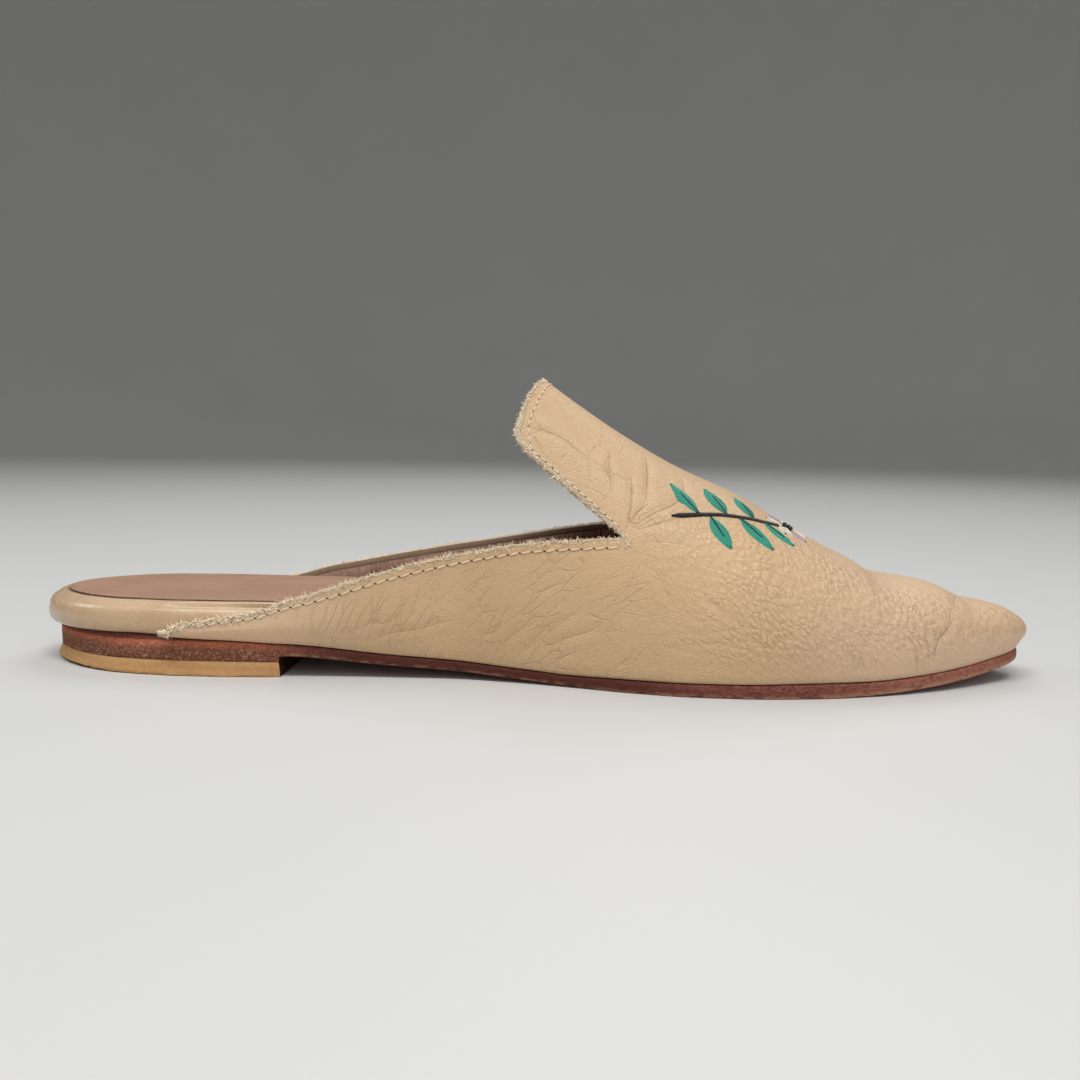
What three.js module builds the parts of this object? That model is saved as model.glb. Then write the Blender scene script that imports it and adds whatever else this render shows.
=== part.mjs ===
// A backless leather clog for the left foot: a one-piece upper with a tab over the instep, a wrapped footbed
// with its sock, a leather outsole and a low heel.
// Millimetres, +Z up, toe towards +X, medial side towards -Y, standing on Z = 0.
import * as THREE from "three";
import { mergeVertices } from "three/addons/utils/BufferGeometryUtils.js";

// Driving sizes
const LENGTH = 264;
const BALL_WIDTH = 78.4;
const TAB_HEIGHT = 76;
const HEEL_HEIGHT = 8.8;

// Sole pieces
const OUTSOLE_THICKNESS = 3.5;
const SOLE_EDGE_ROUND = 0.5;
const TOP_LIFT_THICKNESS = 3.8;
const HEEL_BREAST = 0.261 * LENGTH;
const HEEL_WIDTH = 0.7 * BALL_WIDTH;
const HEEL_INSET = 0.25;
const HEEL_ROLL = 1.2;
const HEEL_ROLL_LENGTH = 14;
const LIFT_EDGE_ROUND = 0.8;
const SEAT_GAP = 0.3;
const WAIST_STEPS = 10;
const BALL_START = 0.598 * LENGTH;
const BALL_STEPS = 3;
const BALL_END = 0.758 * LENGTH;

// Footbed and sock
const FOOTBED_CROWN = 0.7;
const FOOTBED_RIM_HEIGHT = 8.6;
const SOCK_THICKNESS = 1;
const SOCK_EDGE_ROUND = 0.3;

// Upper
const WALL = 2.1;
const WING_TIP_WALL = 1.3;
const WING_TIP = 0.146 * LENGTH;
const WING_FULL_WALL = 0.3 * LENGTH;
const THROAT = 0.585 * LENGTH;
const NOSE = 0.998 * LENGTH;
const FEATHER_INSET = 0.2;
const FULLNESS = 2.15;
const LOWER_SHARE = 0.3;
const TAB_END = 0.507 * LENGTH;
const TAB_END_SLANT = 7;
const TAB_END_CURVE = 1.7;
const TAB_CORNER = 2.5;
const TAB_CORNER_HEIGHT = 0.795 * TAB_HEIGHT;
const TAB_CORNER_START = 0.85;
const RIDGE_OFFSET = -2;
const TOE_BOX = 0.9 * LENGTH;

// Mesh fineness
const WING_ROWS = 18;
const WING_COLUMNS = 6;
const VAMP_ROWS = 16;
const VAMP_COLUMNS = 8;
const TOE_ROWS = 11;
const TAB_ROWS = 7;
const HEEL_ROWS = 16;
const SEAM = 1e-3;
const HALVINGS = 40;

// Plan outline and underside of the sole: stations in percent of LENGTH, half-widths of BALL_WIDTH, heights
// of HEEL_HEIGHT
const SOLE = [
  { at: 0.9, medial: 0, lateral: 0, under: 60.2 },
  { at: 1.9, medial: 12.2, lateral: 12.2, under: 60.2 },
  { at: 3.4, medial: 18.6, lateral: 18.6, under: 60.2 },
  { at: 6.1, medial: 26.3, lateral: 26.3, under: 60.2 },
  { at: 10.6, medial: 32.8, lateral: 32.8, under: 60.2 },
  { at: 17.0, medial: 35.2, lateral: 35.2, under: 60.2 },
  { at: 22.7, medial: 34.8, lateral: 35.5, under: 60.2 },
  { at: 26.5, medial: 34.1, lateral: 35.8, under: 60.2 },
  { at: 36.0, medial: 31.9, lateral: 37.8, under: 38.6 },
  { at: 42.4, medial: 31.2, lateral: 40.3, under: 26.1 },
  { at: 49.2, medial: 34.3, lateral: 44.4, under: 11.4 },
  { at: 55.3, medial: 39.4, lateral: 48.5, under: 2.3 },
  { at: 59.8, medial: 43.6, lateral: 51.3, under: 0 },
  { at: 65.2, medial: 46.7, lateral: 52.9, under: 0 },
  { at: 70.1, medial: 47.1, lateral: 52.7, under: 0 },
  { at: 75.8, medial: 44.9, lateral: 49.2, under: 0 },
  { at: 81.4, medial: 40.2, lateral: 42.6, under: 4.5 },
  { at: 87.1, medial: 32.7, lateral: 32.7, under: 17.0 },
  { at: 91.7, medial: 24.2, lateral: 23.2, under: 31.8 },
  { at: 94.7, medial: 17.9, lateral: 16.8, under: 47.7 },
  { at: 97.0, medial: 12.2, lateral: 11.7, under: 59.1 },
  { at: 98.3, medial: 6.9, lateral: 6.6, under: 65.9 },
  { at: 98.9, medial: 0, lateral: 0, under: 68.2 },
];

// Sections of the last under the upper: half-widths at the widest line in percent of BALL_WIDTH, heights of
// that line and of the ridge in percent of TAB_HEIGHT
const LAST = [
  { at: 14.6, medial: 38.2, lateral: 38.2, waist: 14.8, ridge: 115.8 },
  { at: 22.7, medial: 37.5, lateral: 38.2, waist: 16.8, ridge: 118.4 },
  { at: 28.4, medial: 36.5, lateral: 38.8, waist: 19.4, ridge: 119.1 },
  { at: 36.0, medial: 33.9, lateral: 40.1, waist: 24.3, ridge: 119.1 },
  { at: 42.4, medial: 33.0, lateral: 42.1, waist: 26.3, ridge: 115.8 },
  { at: 48.1, medial: 35.2, lateral: 45.4, waist: 26.3, ridge: 107.2 },
  { at: 50.8, medial: 37.0, lateral: 47.2, waist: 26.3, ridge: 100.1 },
  { at: 54.9, medial: 40.3, lateral: 49.7, waist: 25.0, ridge: 90.1 },
  { at: 58.5, medial: 43.4, lateral: 51.8, waist: 23.7, ridge: 82.0 },
  { at: 64.0, medial: 47.2, lateral: 54.1, waist: 21.1, ridge: 71.3 },
  { at: 70.1, medial: 48.1, lateral: 53.8, waist: 19.1, ridge: 62.0 },
  { at: 74.2, medial: 46.7, lateral: 51.3, waist: 17.8, ridge: 53.8 },
  { at: 78.8, medial: 43.9, lateral: 46.9, waist: 17.1, ridge: 45.0 },
  { at: 81.6, medial: 41.3, lateral: 43.6, waist: 16.6, ridge: 40.3 },
  { at: 83.2, medial: 39.8, lateral: 41.3, waist: 16.3, ridge: 36.7 },
  { at: 84.5, medial: 38.1, lateral: 39.3, waist: 16.1, ridge: 35.3 },
  { at: 87.6, medial: 33.5, lateral: 33.5, waist: 15.9, ridge: 33.9 },
  { at: 89.6, medial: 29.8, lateral: 29.3, waist: 16.1, ridge: 32.6 },
  { at: 91.5, medial: 26.0, lateral: 25.3, waist: 16.2, ridge: 29.9 },
  { at: 93.0, medial: 23.0, lateral: 22.2, waist: 16.3, ridge: 27.5 },
  { at: 95.1, medial: 18.4, lateral: 17.6, waist: 16.4, ridge: 26.3 },
  { at: 97.2, medial: 13.5, lateral: 13.0, waist: 16.6, ridge: 24.3 },
  { at: 98.6, medial: 9.4, lateral: 9.2, waist: 16.6, ridge: 21.8 },
  { at: 99.4, medial: 5.4, lateral: 5.2, waist: 16.6, ridge: 19.5 },
  { at: 99.8, medial: 0, lateral: 0, waist: 16.6, ridge: 16.6 },
];

// Height of the collar edge on each side, from the wing's tip to the throat, in percent of TAB_HEIGHT
const COLLAR = [
  { at: 14.6, medial: 13.7, lateral: 13.7 },
  { at: 15.9, medial: 15.8, lateral: 16.6 },
  { at: 17.4, medial: 17.8, lateral: 18.7 },
  { at: 19.3, medial: 19.1, lateral: 21.1 },
  { at: 21.8, medial: 20.5, lateral: 23.6 },
  { at: 24.2, medial: 22.2, lateral: 26.1 },
  { at: 26.5, medial: 25.3, lateral: 28.4 },
  { at: 29.5, medial: 28.4, lateral: 30.5 },
  { at: 34.6, medial: 34.3, lateral: 34.1 },
  { at: 37.5, medial: 37.4, lateral: 35.9 },
  { at: 39.8, medial: 39.5, lateral: 37.4 },
  { at: 45.1, medial: 43.7, lateral: 40.4 },
  { at: 50.0, medial: 46.8, lateral: 43.2 },
  { at: 58.5, medial: 49.6, lateral: 47.8 },
];

// Footbed: how far its rim stands out past the sole's edge and how far the sock's edge lies inside the rim,
// in millimetres, and the height of its top in percent of HEEL_HEIGHT
const FOOTBED = [
  { at: 0, overhang: 3.2, sock: 5.0, top: 201 },
  { at: 5.0, overhang: 2.8, sock: 4.8, top: 201 },
  { at: 9.5, overhang: 1.8, sock: 4.5, top: 201 },
  { at: 14.4, overhang: -0.4, sock: 4.3, top: 201 },
  { at: 20.8, overhang: -1.4, sock: 4.0, top: 201 },
  { at: 28.4, overhang: -2.0, sock: 3.0, top: 200 },
  { at: 36.0, overhang: -2.8, sock: 1.6, top: 186 },
  { at: 42.4, overhang: -3.0, sock: 1.2, top: 161 },
  { at: 49.2, overhang: -3.2, sock: 1.0, top: 129 },
  { at: 56.8, overhang: -3.2, sock: 1.0, top: 102 },
  { at: 64.4, overhang: -3.2, sock: 1.0, top: 86 },
  { at: 75.8, overhang: -3.2, sock: 1.0, top: 84 },
  { at: 85.2, overhang: -3.2, sock: 1.0, top: 93 },
  { at: 99.8, overhang: -3.2, sock: 1.0, top: 138 },
];

// Round rim of the footbed, from its foot up: drawn in by `inset` at a share of the rim's height
const FOOTBED_RIM = [
  { inset: 2.4, rise: 0 },
  { inset: 0.8, rise: 0.14 },
  { inset: 0, rise: 0.42 },
  { inset: 0.4, rise: 0.7 },
  { inset: 1.7, rise: 0.92 },
  { inset: 3.8, rise: 1 },
];

// Smooth curve through one column of a table that never overshoots its rows; a power of 2 makes round ends.
function column(table, name, unit, power = 1) {
  const x = table.map((row) => (row.at * LENGTH) / 100);
  const y = table.map((row) => (row[name] * unit) ** power);
  const slope = x.slice(1).map((next, i) => (y[i + 1] - y[i]) / (next - x[i]));
  const tangent = x.map((_, i) => {
    if (i === 0) return slope[0];
    if (i === slope.length) return slope[i - 1];
    const pair = slope[i - 1] * slope[i];
    return pair <= 0 ? 0 : (2 * pair) / (slope[i - 1] + slope[i]);
  });
  return (at) => {
    const here = THREE.MathUtils.clamp(at, x[0], x[x.length - 1]);
    const i = Math.max(1, x.findIndex((next) => next >= here)) - 1;
    const span = x[i + 1] - x[i];
    const t = (here - x[i]) / span;
    const start = y[i] + t * (1 - t) ** 2 * span * tangent[i];
    const bend = (3 - 2 * t) * t * t * (y[i + 1] - y[i]);
    const value = start + bend - t * t * (1 - t) * span * tangent[i + 1];
    return Math.max(0, value) ** (1 / power);
  };
}

// Column that may fall below zero.
function signedColumn(table, name) {
  const floor = Math.min(...table.map((row) => row[name]));
  const raised = table.map((row) => ({ at: row.at, [name]: row[name] - floor }));
  const curve = column(raised, name, 1);
  return (at) => curve(at) + floor;
}

const PERCENT_OF = (size) => size / 100;
const SIDES = { medial: -1, lateral: 1 };
const bothSides = (table, unit, power) => ({
  medial: column(table, "medial", PERCENT_OF(unit), power),
  lateral: column(table, "lateral", PERCENT_OF(unit), power),
});
const soleEdge = bothSides(SOLE, BALL_WIDTH, 2);
const lastEdge = bothSides(LAST, BALL_WIDTH, 2);
const collarHeight = bothSides(COLLAR, TAB_HEIGHT, 1);
const waistHeight = column(LAST, "waist", PERCENT_OF(TAB_HEIGHT));
const ridgeHeight = column(LAST, "ridge", PERCENT_OF(TAB_HEIGHT));
const underside = column(SOLE, "under", PERCENT_OF(HEEL_HEIGHT));
const soleTop = (x) => underside(x) + OUTSOLE_THICKNESS;
const rimOverhang = signedColumn(FOOTBED, "overhang");
const sockMargin = signedColumn(FOOTBED, "sock");
const footbedTop = column(FOOTBED, "top", PERCENT_OF(HEEL_HEIGHT));
const SOLE_BACK = (SOLE[0].at * LENGTH) / 100;
const SOLE_TIP = (SOLE[SOLE.length - 1].at * LENGTH) / 100;

// Closed solid through rings of equally many points; rings that fall onto a line close the ends.
function loft(rings) {
  const count = rings[0].length;
  const index = [];
  for (let r = 0; r + 1 < rings.length; r++) {
    for (let i = 0; i < count; i++) {
      const next = (i + 1) % count;
      const [a, b] = [r * count + i, r * count + next];
      const [c, d] = [a + count, b + count];
      index.push(a, b, d, a, d, c);
    }
  }
  return welded(rings.flat(), index);
}

// Indexed geometry with coincident points joined and the triangles that fell flat dropped.
function welded(points, index) {
  const geometry = new THREE.BufferGeometry().setFromPoints(points);
  geometry.setIndex(index);
  const joined = mergeVertices(geometry, SEAM);
  const corners = joined.index.array;
  const kept = [];
  for (let i = 0; i < corners.length; i += 3) {
    const [a, b, c] = corners.subarray(i, i + 3);
    if (a !== b && b !== c && c !== a) kept.push(a, b, c);
  }
  joined.setIndex(kept);
  return joined;
}

const evenly = (from, to, steps) =>
  Array.from({ length: steps + 1 }, (_, i) => from + ((to - from) * i) / steps);

// Stations from `from` to `to`: closer together towards `to`, and towards `from` too if both ends are round.
function stations(from, to, steps, bothRound) {
  return Array.from({ length: steps + 1 }, (_, i) => {
    const turn = bothRound ? Math.PI : Math.PI / 2;
    const share = bothRound ? 0.5 - 0.5 * Math.cos((turn * i) / steps) : Math.sin((turn * i) / steps);
    return from + (to - from) * share;
  });
}

// Plan ring up the medial side of the sole's outline and back down the lateral side, drawn in by `inset(x)`,
// at the height `z(x)`.
function soleRing(along, inset, z) {
  const medial = along.map((x) => new THREE.Vector2(x, -soleEdge.medial(x)));
  const lateral = along.map((x) => new THREE.Vector2(x, soleEdge.lateral(x)));
  const loop = [...medial, ...lateral.reverse()];
  const neighbour = (i, step) => {
    const other = loop[(i + step + loop.length) % loop.length];
    return other.distanceTo(loop[i]) > SEAM ? other : loop[(i + 2 * step + loop.length) % loop.length];
  };
  return loop.map((point, i) => {
    const tangent = neighbour(i, 1).clone().sub(neighbour(i, -1)).normalize();
    const draw = inset(point.x);
    return new THREE.Vector3(point.x - tangent.y * draw, point.y + tangent.x * draw, z(point.x));
  });
}

// Line half-way between the two sides of a plan ring, raised by `crown` where the ring is wide.
function spine(ring, crown = 0) {
  return ring.map((point, i) => {
    const partner = ring[ring.length - 1 - i];
    const rise = crown * Math.min(1, point.distanceTo(partner) / HEEL_WIDTH);
    return point.clone().add(partner).multiplyScalar(0.5).setZ(point.z + rise);
  });
}

// Plate that follows the sole's outline through `levels` of inset and height, from its underside up.
function plate(along, levels, crown = 0) {
  const rings = levels.map(({ inset, z }) => soleRing(along, inset, z));
  return loft([spine(rings[0]), ...rings, spine(rings[rings.length - 1], crown)]);
}

// Levels of a plate between two heights whose edge is drawn in by `inset` and rounded by `low` and `high`.
function roundedEdge(bottom, top, inset, low, high) {
  return [
    { inset: () => inset + low, z: bottom },
    { inset: () => inset, z: (x) => bottom(x) + low },
    { inset: () => inset, z: (x) => top(x) - high },
    { inset: () => inset + high, z: top },
  ];
}

const HEEL_ALONG = stations(HEEL_BREAST, SOLE_BACK, HEEL_ROWS, false).reverse();
const SOLE_ALONG = [
  ...HEEL_ALONG.slice(0, -1),
  ...evenly(HEEL_BREAST, BALL_START, WAIST_STEPS).slice(0, -1),
  ...evenly(BALL_START, BALL_END, BALL_STEPS).slice(0, -1),
  ...stations(BALL_END, SOLE_TIP, TOE_ROWS, false),
];

function outsole() {
  return plate(SOLE_ALONG, roundedEdge(underside, soleTop, 0, SOLE_EDGE_ROUND, SOLE_EDGE_ROUND));
}

function heelStack() {
  const bottom = () => TOP_LIFT_THICKNESS;
  return plate(HEEL_ALONG, roundedEdge(bottom, underside, HEEL_INSET, 0, 0).slice(1, 3));
}

// The top lift's underside is flat, rolled up a little at the very back.
function heelTopLift() {
  const rolled = (x) => Math.max(0, 1 - (x - SOLE_BACK) / HEEL_ROLL_LENGTH);
  const bottom = (x) => HEEL_ROLL * rolled(x) ** 2;
  const top = () => TOP_LIFT_THICKNESS;
  return plate(HEEL_ALONG, roundedEdge(bottom, top, 0, LIFT_EDGE_ROUND, 0).slice(0, 3));
}

const footbedFoot = (x) => soleTop(x) + SEAT_GAP;

function footbed() {
  const height = (x) => footbedTop(x) - footbedFoot(x);
  const levels = FOOTBED_RIM.map(({ inset, rise }) => ({
    inset: (x) => (inset * height(x)) / FOOTBED_RIM_HEIGHT - rimOverhang(x),
    z: (x) => footbedFoot(x) + rise * height(x),
  }));
  return plate(SOLE_ALONG, levels, FOOTBED_CROWN);
}

function insoleSock() {
  const inset = (x) => sockMargin(x) - rimOverhang(x);
  const bottom = (x) => footbedTop(x) + SEAT_GAP;
  const levels = [
    { inset, z: bottom },
    { inset, z: (x) => bottom(x) + SOCK_THICKNESS - SOCK_EDGE_ROUND },
    { inset: (x) => inset(x) + SOCK_EDGE_ROUND, z: (x) => bottom(x) + SOCK_THICKNESS },
  ];
  const rings = levels.map((level) => soleRing(SOLE_ALONG, level.inset, level.z));
  return loft([spine(rings[0], FOOTBED_CROWN), ...rings, spine(rings[2], FOOTBED_CROWN)]);
}

// Foot of the upper at a station: just inside the sole's edge, on the outsole; past the sole's tip it closes
// under the nose.
function feather(x, side) {
  const past = THREE.MathUtils.clamp((x - SOLE_TIP) / (NOSE - SOLE_TIP), 0, 1);
  const seat = soleTop(x) + SEAT_GAP;
  return {
    y: SIDES[side] * Math.max(0, soleEdge[side](x) - FEATHER_INSET),
    z: waistHeight(NOSE) - (waistHeight(NOSE) - seat) * Math.sqrt(1 - past * past),
  };
}

// Point of the last's surface: `q` runs from 0 at the feather edge to 1 on the ridge.
function lastPoint(x, side, q) {
  const foot = feather(x, side);
  const wide = SIDES[side] * lastEdge[side](x);
  const ridge = RIDGE_OFFSET * Math.min(1, lastEdge.medial(x) / (BALL_WIDTH / 4));
  const waist = Math.max(waistHeight(x), foot.z);
  if (q <= LOWER_SHARE) {
    const t = q / LOWER_SHARE;
    const y = foot.y + (wide - foot.y) * Math.sin((Math.PI / 2) * t);
    return new THREE.Vector3(x, y, foot.z + (waist - foot.z) * t);
  }
  const angle = ((Math.PI / 2) * (q - LOWER_SHARE)) / (1 - LOWER_SHARE);
  const [c, s] = [Math.cos(angle), Math.sin(angle)];
  const reach = (c ** FULLNESS + s ** FULLNESS) ** (-1 / FULLNESS);
  const rise = ridgeHeight(x) - waist;
  return new THREE.Vector3(x, ridge + (wide - ridge) * reach * c, waist + rise * reach * s);
}

// Share `q` at which the last's surface reaches the height `z`.
function shareAt(x, side, z) {
  let [low, high] = [0, 1];
  for (let i = 0; i < HALVINGS; i++) {
    const middle = (low + high) / 2;
    if (lastPoint(x, side, middle).z < z) low = middle;
    else high = middle;
  }
  return low;
}

const throatShare = {
  medial: shareAt(THROAT, "medial", collarHeight.medial(THROAT)),
  lateral: shareAt(THROAT, "lateral", collarHeight.lateral(THROAT)),
};
const collarShare = (x, side) =>
  x >= THROAT ? throatShare[side] : shareAt(x, side, collarHeight[side](x));

// One row of a wing, from the feather edge up to the collar edge or, past the throat, to the vamp.
function wingRow(x, side) {
  return evenly(0, collarShare(x, side), WING_COLUMNS).map((q) => lastPoint(x, side, q));
}

// One row over the vamp, from the medial wing across the ridge to the lateral wing.
function vampRow(x) {
  const half = (side) => evenly(throatShare[side], 1, VAMP_COLUMNS).map((q) => lastPoint(x, side, q));
  return [...half("medial"), ...half("lateral").reverse().slice(1)];
}

// One row of the tab, `t` running from 0 at the throat to 1 at its end, which is cut square to its slope and
// rounded at its corners.
function tabRow(t) {
  const rounding = Math.max(0, (t - TAB_CORNER_START) / (1 - TAB_CORNER_START));
  const lift = TAB_CORNER * (1 - Math.sqrt(1 - rounding ** 2));
  const half = (side) => {
    const edgeHeight = THREE.MathUtils.lerp(collarHeight[side](THROAT), TAB_CORNER_HEIGHT, t) + lift;
    return evenly(1, 0, VAMP_COLUMNS).map((out) => {
      const end = TAB_END - TAB_END_SLANT * out ** TAB_END_CURVE;
      const x = THREE.MathUtils.lerp(THROAT, end, t);
      return lastPoint(x, side, 1 - (1 - shareAt(x, side, edgeHeight)) * out);
    });
  };
  return [...half("medial"), ...half("lateral").reverse().slice(1)];
}

// Triangles over a grid of rows that run towards the toe; `start` is the number of its first point.
function gridIndex(rows, start) {
  const width = rows[0].length;
  const index = [];
  for (let i = 0; i + 1 < rows.length; i++) {
    for (let j = 0; j + 1 < width; j++) {
      const a = start + i * width + j;
      const b = a + width;
      index.push(a, b, b + 1, a, b + 1, a + 1);
    }
  }
  return index;
}

// Outer skin of the upper: two wings from their tips to the nose and the vamp between them with its tab.
function upperSkin() {
  const forward = [
    ...stations(THROAT, TOE_BOX, VAMP_ROWS, true).slice(1, -1),
    ...stations(TOE_BOX, NOSE, TOE_ROWS, false),
  ];
  const along = [...evenly(WING_TIP, THROAT, WING_ROWS), ...forward];
  const tab = stations(0, 1, TAB_ROWS, false).slice(1).reverse().map(tabRow);
  const grids = [
    along.map((x) => wingRow(x, "medial")),
    along.map((x) => wingRow(x, "lateral").reverse()),
    [...tab, vampRow(THROAT), ...forward.map(vampRow)],
  ];
  const points = [];
  const index = [];
  for (const rows of grids) {
    index.push(...gridIndex(rows, points.length));
    points.push(...rows.flat());
  }
  return welded(points, index);
}

const wallAt = (x) =>
  THREE.MathUtils.lerp(WING_TIP_WALL, WALL, THREE.MathUtils.smoothstep(x, WING_TIP, WING_FULL_WALL));

// Closed wall behind a skin: a second skin inside it, and strips that close the free edges.
function thickened(skin) {
  skin.computeVertexNormals();
  const vectors = (name) => {
    const attribute = skin.getAttribute(name);
    return evenly(0, attribute.count - 1, attribute.count - 1).map((i) =>
      new THREE.Vector3().fromBufferAttribute(attribute, Math.round(i)),
    );
  };
  const outer = vectors("position");
  const normals = vectors("normal");
  const inner = outer.map((point, i) => point.clone().addScaledVector(normals[i], -wallAt(point.x)));
  const faces = skin.index.array;
  const edges = new Set();
  const index = [];
  for (let i = 0; i < faces.length; i += 3) {
    const [a, b, c] = faces.subarray(i, i + 3);
    index.push(a, b, c, a + outer.length, c + outer.length, b + outer.length);
    edges.add(`${a} ${b}`).add(`${b} ${c}`).add(`${c} ${a}`);
  }
  for (const edge of edges) {
    const [from, to] = edge.split(" ").map(Number);
    if (edges.has(`${to} ${from}`)) continue;
    index.push(to, from, from + outer.length, to, from + outer.length, to + outer.length);
  }
  return welded([...outer, ...inner], index);
}

function piece(name, geometry, color, roughness) {
  const flat = geometry.clone();
  flat.deleteAttribute("normal");
  flat.computeVertexNormals();
  const mesh = new THREE.Mesh(flat, new THREE.MeshStandardMaterial({ color, roughness, metalness: 0 }));
  mesh.name = name;
  return mesh;
}

const shoe = new THREE.Group();
shoe.name = "shoe";
shoe.add(
  piece("outsole", outsole(), 0x6e3f33, 0.8),
  piece("heel_stack", heelStack(), 0x7a4633, 0.85),
  piece("heel_top_lift", heelTopLift(), 0xbe9460, 0.9),
  piece("footbed", footbed(), 0xcfae84, 0.45),
  piece("insole_sock", insoleSock(), 0xb28f7d, 0.6),
  piece("upper", thickened(upperSkin()), 0xd0b088, 0.5),
);

// The origin lies at the middle of the shoe's box, on the floor.
const box = new THREE.Box3().setFromObject(shoe);
const middle = box.getCenter(new THREE.Vector3());
shoe.position.set(-middle.x, -middle.y, -box.min.z);
const group = new THREE.Group();
group.add(shoe);

export default group;
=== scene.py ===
"""Looks of a backless pointed leather mule for the left foot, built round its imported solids."""

import math
from bisect import bisect_left
from functools import lru_cache
from itertools import accumulate, product
from random import Random

import bmesh
import bpy
import numpy as np
from bpy.props import FloatProperty, FloatVectorProperty, IntProperty, PointerProperty
from mathutils import Matrix, Vector, noise


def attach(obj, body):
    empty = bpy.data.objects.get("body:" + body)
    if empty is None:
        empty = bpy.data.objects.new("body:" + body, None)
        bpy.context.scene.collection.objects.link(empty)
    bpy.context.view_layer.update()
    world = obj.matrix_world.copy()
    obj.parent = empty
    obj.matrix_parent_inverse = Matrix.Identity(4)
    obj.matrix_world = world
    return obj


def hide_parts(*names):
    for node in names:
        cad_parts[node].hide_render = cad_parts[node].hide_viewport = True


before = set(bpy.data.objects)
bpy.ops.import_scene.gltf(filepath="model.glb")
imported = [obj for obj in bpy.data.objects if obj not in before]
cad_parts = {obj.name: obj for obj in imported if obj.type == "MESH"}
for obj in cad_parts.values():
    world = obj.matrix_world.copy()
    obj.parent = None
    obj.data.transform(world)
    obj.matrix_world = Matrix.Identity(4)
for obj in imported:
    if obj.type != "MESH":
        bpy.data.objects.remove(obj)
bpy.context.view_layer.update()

bl_info = {
    "name": "Leather Mule",
    "version": (1, 0, 0),
    "blender": (4, 5, 0),
    "location": "View3D > Sidebar > Mule",
    "description": "Dresses the packed solids of a backless leather shoe",
    "category": "Object",
}

# Sizes of the shoe, in millimetres from the back of the heel, along and across its heel-to-toe axis
LENGTH = 264
BALL_WIDTH = 78.4
TAB_HEIGHT = 76
HEEL_HEIGHT = 8.8
HEEL_BACK = -131.36
AXIS = -2.38
MM = 0.001

LIFT_THICKNESS = 3.8
HEEL_BREAST = 0.261 * LENGTH
HEEL_WIDTH = 0.7 * BALL_WIDTH
SEAT_GAP = 0.3
FOOTBED_CROWN = 0.7
FOOTBED_RIM_HEIGHT = 8.6
SOCK_THICKNESS = 1.0

WALL = 2.1
WING_TIP_WALL = 1.3
WING_TIP = 0.146 * LENGTH
WING_END = WING_TIP + 1.4
WING_FULL_WALL = 0.3 * LENGTH
THROAT = 0.585 * LENGTH
NOSE = 0.998 * LENGTH
TOE_START = 0.758 * LENGTH
TOE_BOX = 0.9 * LENGTH
FEATHER_INSET = 0.2
FULLNESS = 2.15
LOWER_SHARE = 0.3
TAB_END = 0.507 * LENGTH
TAB_END_SLANT = 7
TAB_END_CURVE = 1.7
TAB_CORNER = 2.5
TAB_CORNER_HEIGHT = 0.795 * TAB_HEIGHT
TAB_CORNER_START = 0.85
TAB_FOOT = 0.2
RIDGE_OFFSET = -2
GIRTH_STEPS = 40
CRISP_CORNER = math.radians(50)

MEDIAL, LATERAL = -1, 1

# Sole outline: station in % of LENGTH, medial and lateral half-width in % of BALL_WIDTH,
# underside in % of HEEL_HEIGHT
SOLE = (
    (0.9, 0, 0, 60.2), (1.9, 12.2, 12.2, 60.2), (3.4, 18.6, 18.6, 60.2), (6.1, 26.3, 26.3, 60.2),
    (10.6, 32.8, 32.8, 60.2), (17.0, 35.2, 35.2, 60.2), (22.7, 34.8, 35.5, 60.2), (26.5, 34.1, 35.8, 60.2),
    (36.0, 31.9, 37.8, 38.6), (42.4, 31.2, 40.3, 26.1), (49.2, 34.3, 44.4, 11.4), (55.3, 39.4, 48.5, 2.3),
    (59.8, 43.6, 51.3, 0), (65.2, 46.7, 52.9, 0), (70.1, 47.1, 52.7, 0), (75.8, 44.9, 49.2, 0),
    (81.4, 40.2, 42.6, 3.0), (87.1, 32.7, 32.7, 12.5), (91.7, 24.2, 23.2, 24.5), (94.7, 17.9, 16.8, 38.0),
    (97.0, 12.2, 11.7, 49.0), (98.3, 6.9, 6.6, 55.5), (98.9, 0, 0, 57.5),
)

# Last: station, medial and lateral half-width in % of BALL_WIDTH, widest line and ridge in % of TAB_HEIGHT
LAST = (
    (14.6, 38.2, 38.2, 14.8, 115.8), (22.7, 37.5, 38.2, 16.8, 118.4), (28.4, 36.5, 38.8, 19.4, 119.1),
    (36.0, 33.9, 40.1, 24.3, 119.1), (42.4, 33.0, 42.1, 26.3, 115.8), (48.1, 35.2, 45.4, 26.3, 107.2),
    (50.8, 37.0, 47.2, 26.3, 100.1), (54.9, 40.3, 49.7, 25.0, 90.1), (58.5, 43.4, 51.8, 23.7, 82.0),
    (64.0, 47.2, 54.1, 21.1, 71.3), (70.1, 48.1, 53.8, 19.1, 62.0), (74.2, 46.7, 51.3, 17.8, 53.8),
    (78.8, 43.9, 46.9, 17.1, 45.0), (81.6, 41.3, 43.6, 16.6, 40.3), (83.2, 39.8, 41.3, 16.3, 36.7),
    (84.5, 38.1, 39.3, 16.1, 35.3), (87.6, 33.5, 33.5, 15.9, 33.9), (89.6, 29.8, 29.3, 16.1, 32.6),
    (91.5, 26.0, 25.3, 16.2, 29.9), (93.0, 23.0, 22.2, 16.3, 27.5), (95.1, 18.4, 17.6, 16.4, 26.3),
    (97.2, 13.5, 13.0, 16.6, 24.3), (98.6, 9.4, 9.2, 16.6, 21.8), (99.4, 5.4, 5.2, 16.6, 19.5),
    (99.8, 0, 0, 16.6, 16.6),
)

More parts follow.
